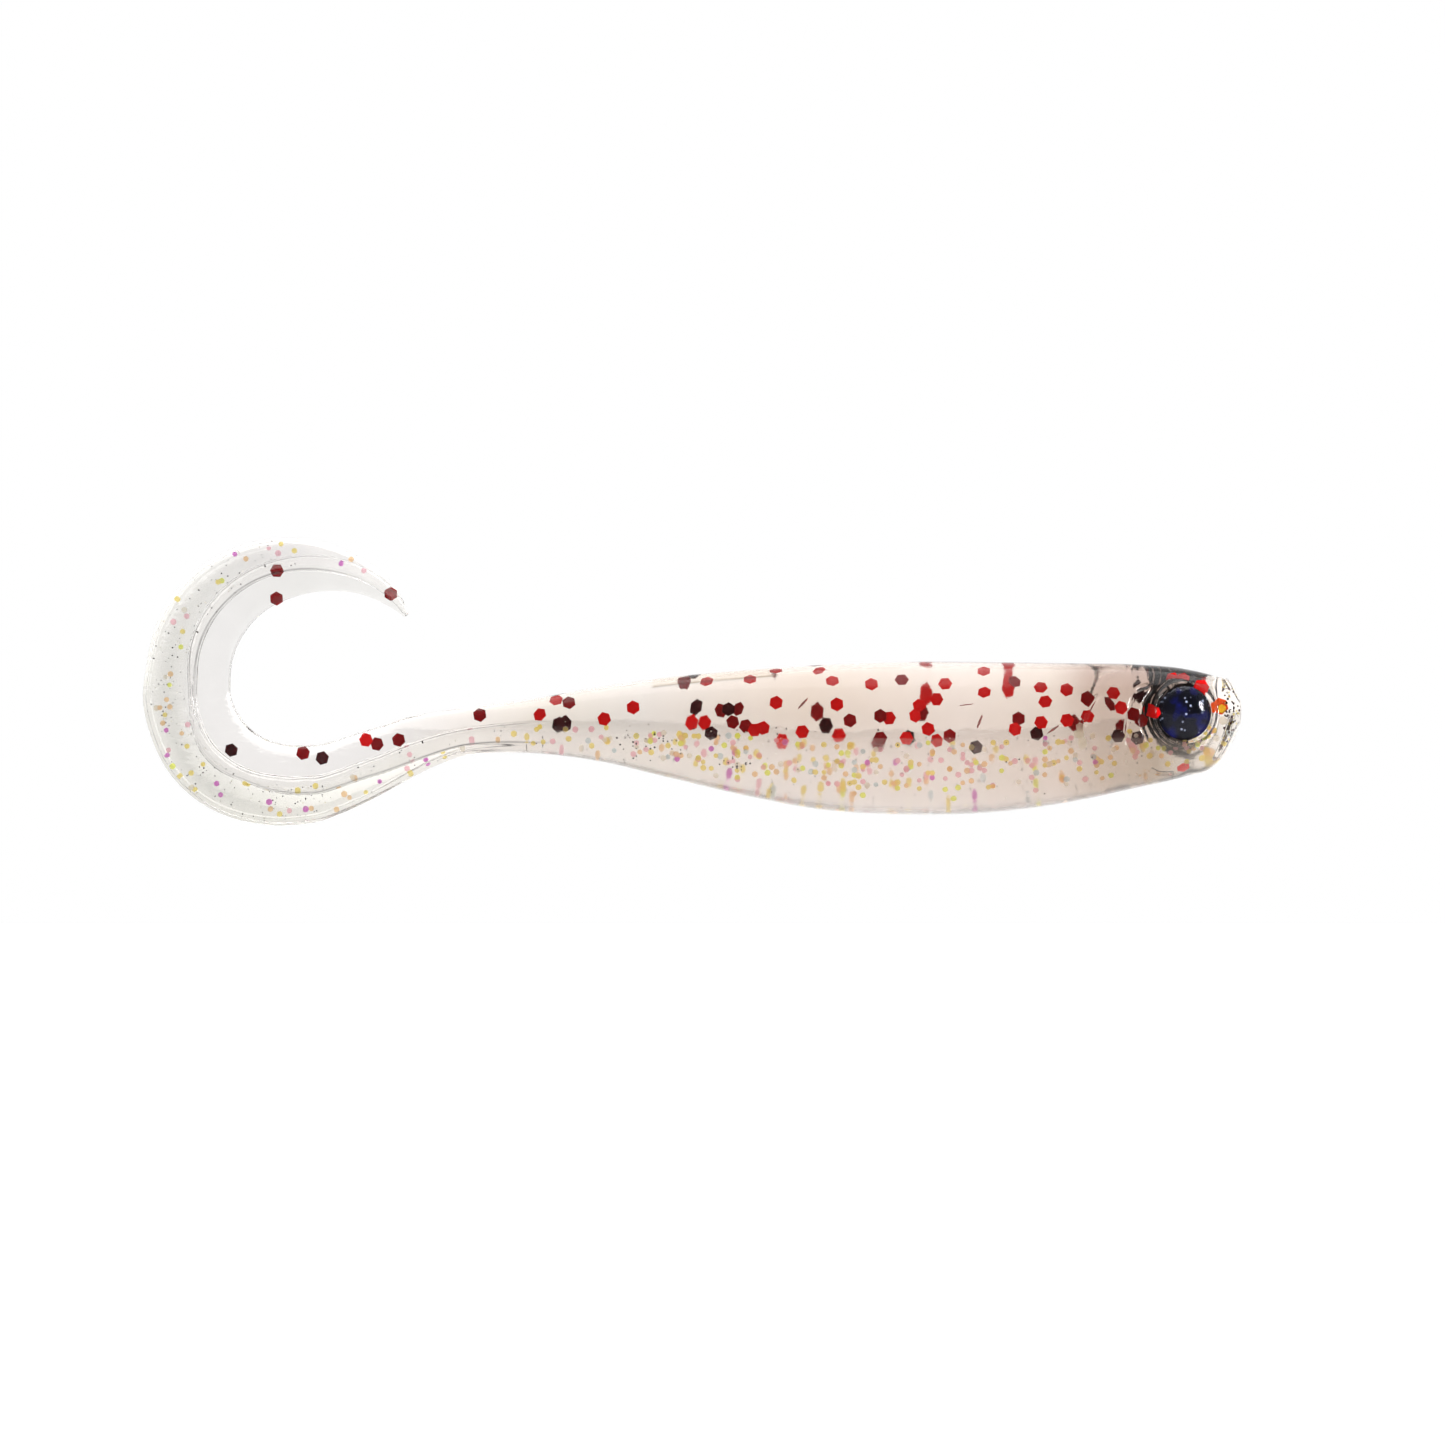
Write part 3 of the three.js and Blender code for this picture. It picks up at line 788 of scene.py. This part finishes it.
def scattered(count, low_u, high_u, low_share, high_share):
    """Rows and columns drawn evenly over part of the bait's side."""
    rows = np.flatnonzero((ROW_U >= low_u) & (ROW_U <= high_u))
    weight = np.gradient(ROW_U)[rows] * np.linalg.norm(SKIN[rows, 0] - SKIN[rows, -1], axis=1)
    found = []
    for row in draw.choice(rows, count, p=weight / weight.sum()):
        share = draw.uniform(low_share, high_share)
        across = np.linalg.norm(SKIN[row, :, (0, 2)].T - SKIN[row, 0, (0, 2)], axis=1)
        found.append((int(row), int(np.argmin(abs(across / across[-1] - share)))))
    return found


# %% Lay out a flake
flakes = []  # row, centre, the way it faces, radius, turn, film


def lay(row, column, side, inset, radius, number, tilt, turned_out=0.0):
    """Adds one flake under the skin, lying along it but for a tilt, or turned to face sideways."""
    mirror = np.array((1, side, 1))
    point, normal = SKIN[row, column], NORMAL[row, column]
    centre = point - normal * min(inset, max(point[1] * 0.6, 0.05))
    facing = normal * (1 - turned_out) + np.array((0, turned_out, 0))
    facing = facing + draw.normal(size=3) * math.tan(tilt) * 0.5
    turn = draw.uniform(0, math.pi / 3)
    flakes.append((row, centre * mirror, facing * mirror, radius, turn, number))


# %% The large red flakes
RED_RADIUS = 0.66
NEAR_RED = [  # x, z in millimetres, on the right-hand side
    (-78.6, 11.0), (-93.4, -3.4), (-89.0, 13.2), (-89.1, 10.6), (-86.7, -3.7), (-84.9, -4.2),
    (-80.9, -2.5), (-79.8, -2.9), (-78.0, -2.5), (-70.3, -0.1), (-64.7, -0.1), (-63.3, 1.4),
    (-62.1, 1.1), (-58.8, -0.6), (-56.1, 0.6), (-49.5, 3.1), (-49.1, -1.9), (-47.3, 0.4),
    (-47.0, -0.8), (-45.9, -1.2), (-45.5, 3.3), (-45.1, -1.6), (-44.2, -1.3), (-43.1, 4.0),
    (-43.1, 1.1), (-40.7, -1.7), (-39.1, 4.1), (-37.9, 3.0), (-37.6, 0.9), (-36.3, -0.6),
    (-34.1, 2.8), (-33.5, -0.2), (-32.5, -0.4), (-33.4, -2.3), (-31.5, 3.3), (-31.0, -2.3),
    (-30.3, -0.2), (-29.7, 0.8), (-29.0, -1.5), (-28.1, 1.3), (-27.6, 2.8), (-28.2, -2.6),
    (-24.6, -3.1), (-23.9, 2.0), (-23.8, 4.0), (-21.2, 3.0), (-20.8, -1.4), (-19.2, -1.9),
    (-18.5, 2.5), (-18.3, 1.1), (-18.6, -0.9), (-16.1, 2.3), (-16.0, -0.6), (-14.4, -0.2),
    (-11.2, 0.6), (-10.1, -0.1), (-9.4, -0.6), (-8.6, 0.2), (-9.7, -2.3), (-11.5, -2.1),
    (-11.9, 2.0), (-5.3, -5.2),
]
# Painted shade: these listed flakes, every flake above the top of the curl and the deeper flakes
# take the shaded copies of the red film.
DEEP_SHADED_ONES = {(-84.9, -4.2), (-93.4, -3.4), (-49.1, -1.9), (-47.3, 0.4)}
DEEP_SHADED_ONES |= {(-24.6, -3.1), (-19.2, -1.9), (-9.7, -2.3), (-11.5, -2.1)}
CURL_TOP = 8  # the flakes over this height are all dark red
for x, z in NEAR_RED:
    number = DEEP_SHADED_RED if (x, z) in DEEP_SHADED_ONES else draw.choice([RED, RED, RED, SHADED_RED])
    number = SHADED_RED if z > CURL_TOP else number
    lay(*outside_at(x, z), -1, draw.uniform(0.25, 0.45), RED_RADIUS, int(number), 0.3)
for row, column in scattered(24, 8, 66, 0.06, 0.54):
    inset = draw.uniform(0.3, 0.6)
    lay(row, column, 1, inset, RED_RADIUS, int(draw.choice([RED, SHADED_RED, DEEP_SHADED_RED])), 0.35)
for row, column in scattered(10, 12, 60, 0.15, 0.5):
    lay(row, column, -1, draw.uniform(1.5, 3), RED_RADIUS, SHADED_RED, 1.2)
BOTH, RIGHT = (-1, 1), (-1,)
FACE_PATCHES = [  # x, z, how deep, radius, film, sides
    (-6.3, 3.3, 0.35, 0.70, RED, BOTH),
    (-5.3, 3.4, 0.35, 0.62, RED, BOTH),
    (-3.6, 2.6, 0.30, 0.78, RED, BOTH),
    (-8.3, 0.1, 0.30, 0.60, RED, BOTH),
    (-2.0, 0.75, 0.42, 0.80, ORANGE_RED, RIGHT),
    (-1.8, 0.45, 0.3, 0.42, YELLOW, RIGHT),
    (-1.7, -0.75, 0.45, 0.4, PALE, RIGHT),
    # Painted highlight: three sheer pale plates where the step of the gill plate catches light.
    (-14.95, -1.2, 0.3, 0.42, GILL_HIGHLIGHT, BOTH),
    (-15.0, -1.9, 0.3, 0.5, GILL_HIGHLIGHT, BOTH),
    (-14.7, -2.7, 0.3, 0.45, GILL_HIGHLIGHT, BOTH),
]
for x, z, inset, radius, number, sides in FACE_PATCHES:
    for side in sides:
        lay(*outside_at(x, z), side, inset, radius, number, 0.15, 0.8)
print(len(flakes), "red flakes")

# %% The fine glitter
GLITTER_RADIUS = 0.29
BELLY_MIX = [GOLD] * 8 + [ORANGE] * 6 + [PINK] * 7 + [MAGENTA]
BELLY_MIX += [BLUE] * 2 + [PALE] * 3 + [GREEN] * 3
TAIL_MIX = [GOLD] * 5 + [ORANGE] * 3 + [PINK] * 3 + [MAGENTA] * 2 + [PALE] * 2 + [GREEN]
REGIONS = [  # how many, from u, to u, from share, to share, mix
    (370, 1.2, 64, 0.53, 0.84, BELLY_MIX),
    (26, 3, 62, 0.84, 0.91, BELLY_MIX),
    (22, 64, 84, 0.5, 0.92, TAIL_MIX),
    (44, 84, u_at(-250), 0.55, 0.95, TAIL_MIX),
    (7, u_at(-250), u_at(-310), 0.55, 0.9, TAIL_MIX),
]
for count, low_u, high_u, low_share, high_share, mix in REGIONS:
    for row, column in scattered(count, low_u, high_u, low_share, high_share):
        side = draw.choice([-1, -1, 1])
        radius = GLITTER_RADIUS * draw.uniform(0.8, 1.1)
        lay(row, column, side, draw.uniform(0.15, 0.9), radius, int(draw.choice(mix)), 0.25, 0.8)
for row, column in scattered(300, 4, 84, 0.45, 0.97) + scattered(280, 84, u_at(-270), 0.5, 0.97):
    number = int(draw.choice([PEPPER, PEPPER, PALE]))
    side, inset = draw.choice([-1, 1]), draw.uniform(0.1, 0.4)
    lay(row, column, side, inset, draw.uniform(0.04, 0.085), number, 1.0)
for row, column in scattered(120, 0.1, 1.8, 0.08, 0.92):
    number = int(draw.choice([PEPPER, GOLD, DEEP_SHADED_RED]))
    lay(row, column, draw.choice([-1, 1]), 0.12, draw.uniform(0.08, 0.16), number, 1.0)
CLUSTERS = [(-54.0, -3.0, 1.7, 0.6, 26), (-46.6, -4.8, 0.8, 0.4, 16)]  # x, z, spreads, specks
for x, z, spread_x, spread_z, count in CLUSTERS:
    for ahead, up in draw.normal(size=(count, 2)):
        row, column = outside_at(x + ahead * spread_x, z + up * spread_z)
        lay(row, column, -1, draw.uniform(0.1, 0.3), draw.uniform(0.06, 0.11), PEPPER, 0.6, 0.7)
print(len(flakes), "flakes in all")

# %% Turn a length's flakes into one mesh
FILM_HALF = 0.018
HEXAGON = np.array([(math.cos(k * math.pi / 3), 0, math.sin(k * math.pi / 3)) for k in range(6)])
PLATE_FACES = [tuple(range(6)), tuple(range(11, 5, -1))]
PLATE_FACES += [(k, k + 6, (k + 1) % 6 + 6, (k + 1) % 6) for k in range(6)]


def plate(centre, facing, radius, turn):
    """The twelve corners of a six-sided plate."""
    swing = Vector((0, 1, 0)).rotation_difference(Vector(facing)).to_matrix()
    turned = swing @ Matrix.Rotation(turn, 3, "Y")
    thick = np.array((0, FILM_HALF, 0))
    flat = np.concatenate((HEXAGON * radius + thick, HEXAGON * radius - thick))
    return flat @ np.array(turned).T + centre


def flake_piece(name, low_row, high_row):
    """One mesh of all the flakes whose rows lie in a length."""
    points, faces, kinds = [], [], []
    for row, centre, facing, radius, turn, number in flakes:
        if low_row <= row < high_row or (row == high_row == len(SKIN) - 1):
            base = len(points) * 12
            points.append(plate(centre, facing, radius, turn))
            faces += [tuple(base + v for v in f) for f in PLATE_FACES]
            kinds += [number] * len(PLATE_FACES)
    points = np.concatenate(points)
    mesh = bpy.data.meshes.new(name)
    mesh.from_pydata((points * MM).tolist(), [], faces)
    used = sorted(set(kinds))
    for number in used:
        mesh.materials.append(FILMS[number])
    mesh.polygons.foreach_set("material_index", [used.index(k) for k in kinds])
    paint(mesh, points, np.ones((len(points), 3)))
    return placed(name, mesh)


# %% Put the flakes in
for i, (name, before, after, start, end, _) in enumerate(LENGTHS):
    piece = flake_piece(f"{name}_flakes", cut_rows[i], cut_rows[i + 1])
    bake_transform(piece)
    print(piece.name, len(piece.data.vertices) // 12, "plates")

# %% [markdown]
# ## Eyes
# Each eye is a glitter foil cup under a dome of clear dark resin. The cup is turned like a
# bowl: its back is sunk in the socket, and its flat face carries the glitter that shows
# through the dome. Both are turned profiles, spun about the eye's own axis.

# %% Spin a profile about the eye's axis
def spun(name, profile, side, finish, bonded=0, turns=72):
    """A closed turned piece, whose first bands of faces may be bonded to what lies under."""
    axis = Vector((EYE_AXIS[0], EYE_AXIS[1] * side, 0))
    centre = Vector((EYE_FACE[0], EYE_FACE[1] * side, EYE_FACE[2]))
    up = Vector((0, 0, 1))
    flat = axis.cross(up)
    points = [centre + axis * profile[0][1]]
    faces = []
    for radius, height in profile[1:-1]:
        for k in range(turns):
            a = 2 * math.pi * k / turns
            points.append(centre + axis * height + (up * math.cos(a) + flat * math.sin(a)) * radius)
    points.append(centre + axis * profile[-1][1])
    rings = len(profile) - 2
    for k in range(turns):
        n = (k + 1) % turns
        faces.append((0, 1 + n, 1 + k))
        for r in range(rings - 1):
            a, b = 1 + r * turns, 1 + (r + 1) * turns
            faces.append((a + k, a + n, b + n, b + k))
        last = 1 + (rings - 1) * turns
        faces.append((last + k, last + n, len(points) - 1))
    mesh = bpy.data.meshes.new(name)
    mesh.from_pydata([(p * MM)[:] for p in points], [], faces)
    mesh.materials.append(finish)
    mesh.materials.append(FUSED)
    for face in mesh.polygons:
        face.use_smooth = True
        face.material_index = int(face.index % (rings + 1) < bonded)
    middle = sum((v.co for v in mesh.vertices), Vector()) / len(mesh.vertices)
    bulk = sum((f.center - middle).dot(f.normal) * f.area for f in mesh.polygons)
    if bulk < 0:
        mesh.flip_normals()
    paint(mesh, np.array([v.co for v in mesh.vertices]) / MM, np.ones((len(points), 3)))
    mesh.set_sharp_from_angle(angle=math.radians(40))
    return placed(name, mesh)


# %% Glitter foil
FOIL, foil_tree, foil_shader, add = new_finish("eye_foil_glitter")
place = at_rest(add)
patches = add("ShaderNodeTexNoise", [(place, "Vector")], Scale=0.7, Detail=3.0)
patchy = add("ShaderNodeMapRange", [(patches.outputs[0], "Value")], From_Min=0.5, From_Max=0.68)
navy = add("ShaderNodeMix", [(patchy.outputs[0], "Factor")], data_type="RGBA")
navy.inputs[6].default_value = (0.001, 0.001, 0.004, 1)
navy.inputs[7].default_value = (0.006, 0.007, 0.11, 1)
# The foil's real glitter, with its sparkle painted: random cells painted bright, as if each caught
# the light.
flecks = add("ShaderNodeTexVoronoi", [(place, "Vector")], Scale=2.7)
lit = add("ShaderNodeMapRange", [(flecks.outputs["Color"], "Value")], From_Min=0.55, From_Max=0.8)
spot = add("ShaderNodeMapRange", [(flecks.outputs["Distance"], "Value")])
set_sockets(spot, From_Min=0.12, From_Max=0.34, To_Min=1.0, To_Max=0.0)
amount = add("ShaderNodeMath", [(lit.outputs[0], 0), (spot.outputs[0], 1)], operation="MULTIPLY")
glitter_links = [(amount.outputs[0], "Factor"), (navy.outputs[2], 6)]
glitter = add("ShaderNodeMix", glitter_links, data_type="RGBA")
glitter.inputs[7].default_value = (0.80, 0.88, 1.0, 1)
foil_tree.links.new(glitter.outputs[2], foil_shader.inputs["Base Color"])
set_sockets(foil_shader, Roughness=0.5, Specular_IOR_Level=0.1)

# %% Dark resin dome
RESIN, resin_tree, resin_shader, add = new_finish("eye_resin")
place = at_rest(add)
dent = add("ShaderNodeTexNoise", [(place, "Vector")], Scale=0.8, Detail=2.0)
bump = add("ShaderNodeBump", [(dent.outputs[0], "Height")], Strength=0.6, Distance=0.0002)
resin_tree.links.new(bump.outputs[0], resin_shader.inputs["Normal"])
set_sockets(resin_shader, Base_Color=(0.75, 0.78, 0.98, 1), Transmission_Weight=1.0)
set_sockets(resin_shader, Roughness=0.03, IOR=1.45)
set_sockets(resin_shader, Specular_Tint=(0.28, 0.28, 0.31, 1))

# %% Make both eyes
bowl_steps = np.linspace(0, 1, 15)
CUP = [(0, -BALL_DEPTH)]
CUP += [(EYE_RADIUS * t, -BALL_DEPTH * (1 - t**BOWL_POWER)) for t in bowl_steps[1:]]
CUP += [(EYE_RADIUS * t, 0.02) for t in (0.98, 0.66, 0.33)] + [(0, 0.02)]
DOME = [(0, 0.05), (EYE_RADIUS * 0.5, 0.05), (EYE_RADIUS * 0.97, 0.05)]
DOME += [(EYE_RADIUS * math.cos(a), 0.12 + CROWN * math.sin(a)) for a in np.linspace(0.02, 1.5, 18)]
DOME += [(0, 0.12 + CROWN)]
EYE_PARTS = [("foil", CUP, FOIL, 0, "eye_foil"), ("dome", DOME, RESIN, 2, "eye_resin")]
for side, word in ((1, "left"), (-1, "right")):
    for part, profile, finish, bonded, slot in EYE_PARTS:
        piece = spun(f"{word}_eye_{part}_turned", profile, side, finish, bonded)
        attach(piece, "body")
        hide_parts(f"{word}_eye_{part}")
print("eyes made")

# %% [markdown]
# Round each eye the clear skin shows a dark halo, wide towards the gill and gone towards the
# nose, where the dark eye is seen bent through the plastic about its socket. Here it is painted
# shade: a thin dark curved sheet that follows the inside of the skin, so it is laid out in rings
# about the eye and dropped just under the surface.

# %% Dark halo round the eye
HALO_REACH, HALO_START, HALO_THICK, HALO_INSET = 3.75, 2.45, 0.06, 0.38
HALO_SPAN, HALO_TAPER = math.radians(262), 1.1


def skin_half(x, z):
    """Half thickness of the head at a place in the side plane, from the nearest skin points."""
    gap = (SKIN[:HEAD_ROWS, :, 0] - x) ** 2 + (SKIN[:HEAD_ROWS, :, 2] - z) ** 2
    near = np.argsort(gap.ravel())[:4]
    weight = 1 / (gap.ravel()[near] + 1e-3)
    return float((SKIN[:HEAD_ROWS, :, 1].ravel()[near] * weight).sum() / weight.sum())


def halo(name, side, finish, rings=10, spokes=90):
    """A closed crescent sheet of painted shade round one eye, between two radii, widest towards the
    gill.
    """
    outer_face, inner_face = [], []
    for k in range(spokes + 1):
        turn = math.pi + HALO_SPAN * (k / spokes - 0.5)
        wide = math.cos((k / spokes - 0.5) * math.pi) ** HALO_TAPER * (HALO_REACH - HALO_START)
        for r in range(rings + 1):
            radius = HALO_START + max(wide, 0.02) * r / rings
            x, z = EYE_FACE[0] + radius * math.cos(turn), EYE_FACE[2] + radius * math.sin(turn)
            y = skin_half(x, z) - HALO_INSET
            if radius < SOCKET_RADIUS + 0.3:
                y = min(y, EYE_FACE[1] - math.tan(EYE_TURN) * (x - EYE_FACE[0]) - 0.45)
            y = max(y, 0.12)
            outer_face.append((x, y * side, z))
            inner_face.append((x, (y - HALO_THICK) * side, z))
    wide_row = rings + 1
    count = (spokes + 1) * wide_row
    faces = []
    for k in range(spokes):
        for r in range(rings):
            a = k * wide_row + r
            quad = (a, a + wide_row, a + wide_row + 1, a + 1)
            faces += [quad, tuple(count + v for v in reversed(quad))]
    for k in range(spokes):
        for r in (0, rings):
            a, b = k * wide_row + r, (k + 1) * wide_row + r
            faces.append((a, count + a, count + b, b) if r else (b, count + b, count + a, a))
    for r in range(rings):
        for k in (0, spokes):
            a, b = k * wide_row + r, k * wide_row + r + 1
            faces.append((b, count + b, count + a, a) if k else (a, count + a, count + b, b))
    if side < 0:
        faces = [tuple(reversed(f)) for f in faces]
    points = np.array(outer_face + inner_face)
    mesh = bpy.data.meshes.new(name)
    mesh.from_pydata((points * MM).tolist(), [], faces)
    mesh.materials.append(finish)
    paint(mesh, points, np.ones((len(points), 3)))
    return placed(name, mesh)


# %% Painted shade round the eye, with painted highlight streaks bent round it
EYE_SHADE_FINISH, eye_shade_tree, eye_shade_shader, add = new_finish("painted_eye_shade")
place = at_rest(add)
shade_noise = add("ShaderNodeTexNoise", [(place, "Vector")], Scale=2.2, Detail=5.0, Roughness=0.7)
eye_shade_tone = add("ShaderNodeValToRGB", [(shade_noise.outputs[0], "Fac")])
EYE_SHADE_TONES = [(0.56, (0.004, 0.003, 0.005, 1)), (0.82, (0.13, 0.12, 0.12, 1))]
for element, (position, tone) in zip(eye_shade_tone.color_ramp.elements, EYE_SHADE_TONES):
    element.position = position
    element.color = tone
# Painted highlight: pale arcs in rings about the eye, broken up by the noise.
about_eye = add("ShaderNodeVectorMath", [(place, 0)], operation="SUBTRACT")
about_eye.inputs[1].default_value = (EYE_FACE[0], 0, EYE_FACE[2])
ring_look = {"wave_type": "RINGS", "rings_direction": "Y", "Scale": 0.62, "Distortion": 1.2}
rings = add("ShaderNodeTexWave", [(about_eye.outputs[0], "Vector")], Detail=1.0, **ring_look)
streak = add("ShaderNodeMapRange", [(rings.outputs["Fac"], "Value")], From_Min=0.86, From_Max=0.97)
broken = add("ShaderNodeMapRange", [(shade_noise.outputs[0], "Value")], From_Min=0.42, From_Max=0.52)
both = [(streak.outputs[0], 0), (broken.outputs[0], 1)]
painted_highlight_share = add("ShaderNodeMath", both, operation="MULTIPLY")
streak_links = [(painted_highlight_share.outputs[0], "Factor"), (eye_shade_tone.outputs[0], 6)]
shade_with_painted_highlights = add("ShaderNodeMix", streak_links, data_type="RGBA")
shade_with_painted_highlights.inputs[7].default_value = (0.66, 0.60, 0.56, 1)
eye_shade_tree.links.new(shade_with_painted_highlights.outputs[2], eye_shade_shader.inputs["Base Color"])
set_sockets(eye_shade_shader, Roughness=0.5, Specular_IOR_Level=0.1)

# %% Put a halo behind each eye
# Painted shade: a dark sheet behind each eye.
for side, word in ((1, "left"), (-1, "right")):
    piece = halo(f"{word}_eye_halo", side, EYE_SHADE_FINISH)
    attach(piece, "body")
print("halos made")

# %% [markdown]
# ## Studio
# Clear plastic looks like what is around it. The surround is white behind and beside the
# bait, a little greyer overhead, and dark in front, so that little light is mirrored over the
# flakes. The camera itself sees plain white.
# A pale floor lies well below. A softbox stands to the front right for the glint in the
# eye, a weak one lights the top, and a sun with a wide disc brightens the floor.

# %% Surround
world = bpy.data.worlds.new("surround")
bpy.context.scene.world = world
world.use_nodes = True
sky = world.node_tree
sky.nodes.clear()
add = adder(sky)
where = add("ShaderNodeTexCoord")
parts = add("ShaderNodeSeparateXYZ", [(where.outputs["Generated"], 0)])
ramp = add("ShaderNodeValToRGB", [(parts.outputs["Z"], 0)])
open_front = add("ShaderNodeMapRange", [(parts.outputs["Y"], "Value")])
set_sockets(open_front, From_Min=-0.75, From_Max=-0.3, To_Min=0.03, To_Max=1.0)
glow = add("ShaderNodeBackground", [(ramp.outputs[0], 0), (open_front.outputs[0], 1)])
seen = add("ShaderNodeLightPath")
backdrop = add("ShaderNodeBackground", Color=(1, 1, 1, 1))
views = [(seen.outputs["Is Camera Ray"], 0), (glow.outputs[0], 1), (backdrop.outputs[0], 2)]
choice = add("ShaderNodeMixShader", views)
add("ShaderNodeOutputWorld", [(choice.outputs[0], 0)])

# %% Brightness by height, from level to straight up
HEIGHTS, ZENITH = [(0.7, 1.0), (0.84, 0.88), (0.96, 0.84)], 0.9


def grey(level):
    """A colour alike in red, green and blue."""
    return (level, level, level, 1)


bands = ramp.color_ramp.elements
bands[0].position, bands[0].color = 0, grey(1)
bands[1].position, bands[1].color = 1, grey(ZENITH)
for height, brightness in HEIGHTS:
    bands.new(height).color = grey(brightness)


# %% Lamps
def lamp(name, kind, place, target, energy, size):
    """A lamp at a place, turned to a target, both in metres."""
    data = bpy.data.lights.new(name, kind)
    data.energy = energy
    if kind == "AREA":
        data.shape, data.size = "SQUARE", size
    else:
        data.angle = size
    found = placed(name, data)
    found.location = place
    found.rotation_euler = (Vector(target) - Vector(place)).to_track_quat("-Z", "Y").to_euler()
    return found


lamp("front_softbox", "AREA", (0.48, -0.34, 0.12), (-0.005, 0, 0), 4.2, 0.12)
lamp("top_softbox", "AREA", (-0.12, -0.25, 0.45), (-0.05, 0, 0), 0.15, 0.4)
lamp("wide_sun", "SUN", (0, 0, 1), (0, 0.05, 0), 1.81, 1.0)

# %% Floor
FLOOR_DROP, FLOOR_HALF = 0.095, 3.0
SQUARE = ((-1, -1), (1, -1), (1, 1), (-1, 1))
floor_mesh = bpy.data.meshes.new("floor")
corners = [(x * FLOOR_HALF, y * FLOOR_HALF, -FLOOR_DROP) for x, y in SQUARE]
floor_mesh.from_pydata(corners, [], [(0, 1, 2, 3)])
paper, _, paper_shader, _ = new_finish("floor_paper")
set_sockets(paper_shader, Base_Color=grey(0.92), Roughness=0.9)
floor_mesh.materials.append(paper)
placed("floor", floor_mesh)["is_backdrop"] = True

# %% How light is traced
render = bpy.context.scene
render.view_settings.view_transform = "Standard"
render.cycles.max_bounces = 20
render.cycles.transmission_bounces = 16
render.cycles.transparent_max_bounces = 48
render.cycles.sample_clamp_indirect = 8
print("denoising:", render.cycles.use_denoising)

# %% The size of what is shown
low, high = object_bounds()
print("visual box", [round(v, 4) for v in (*low, *high)])
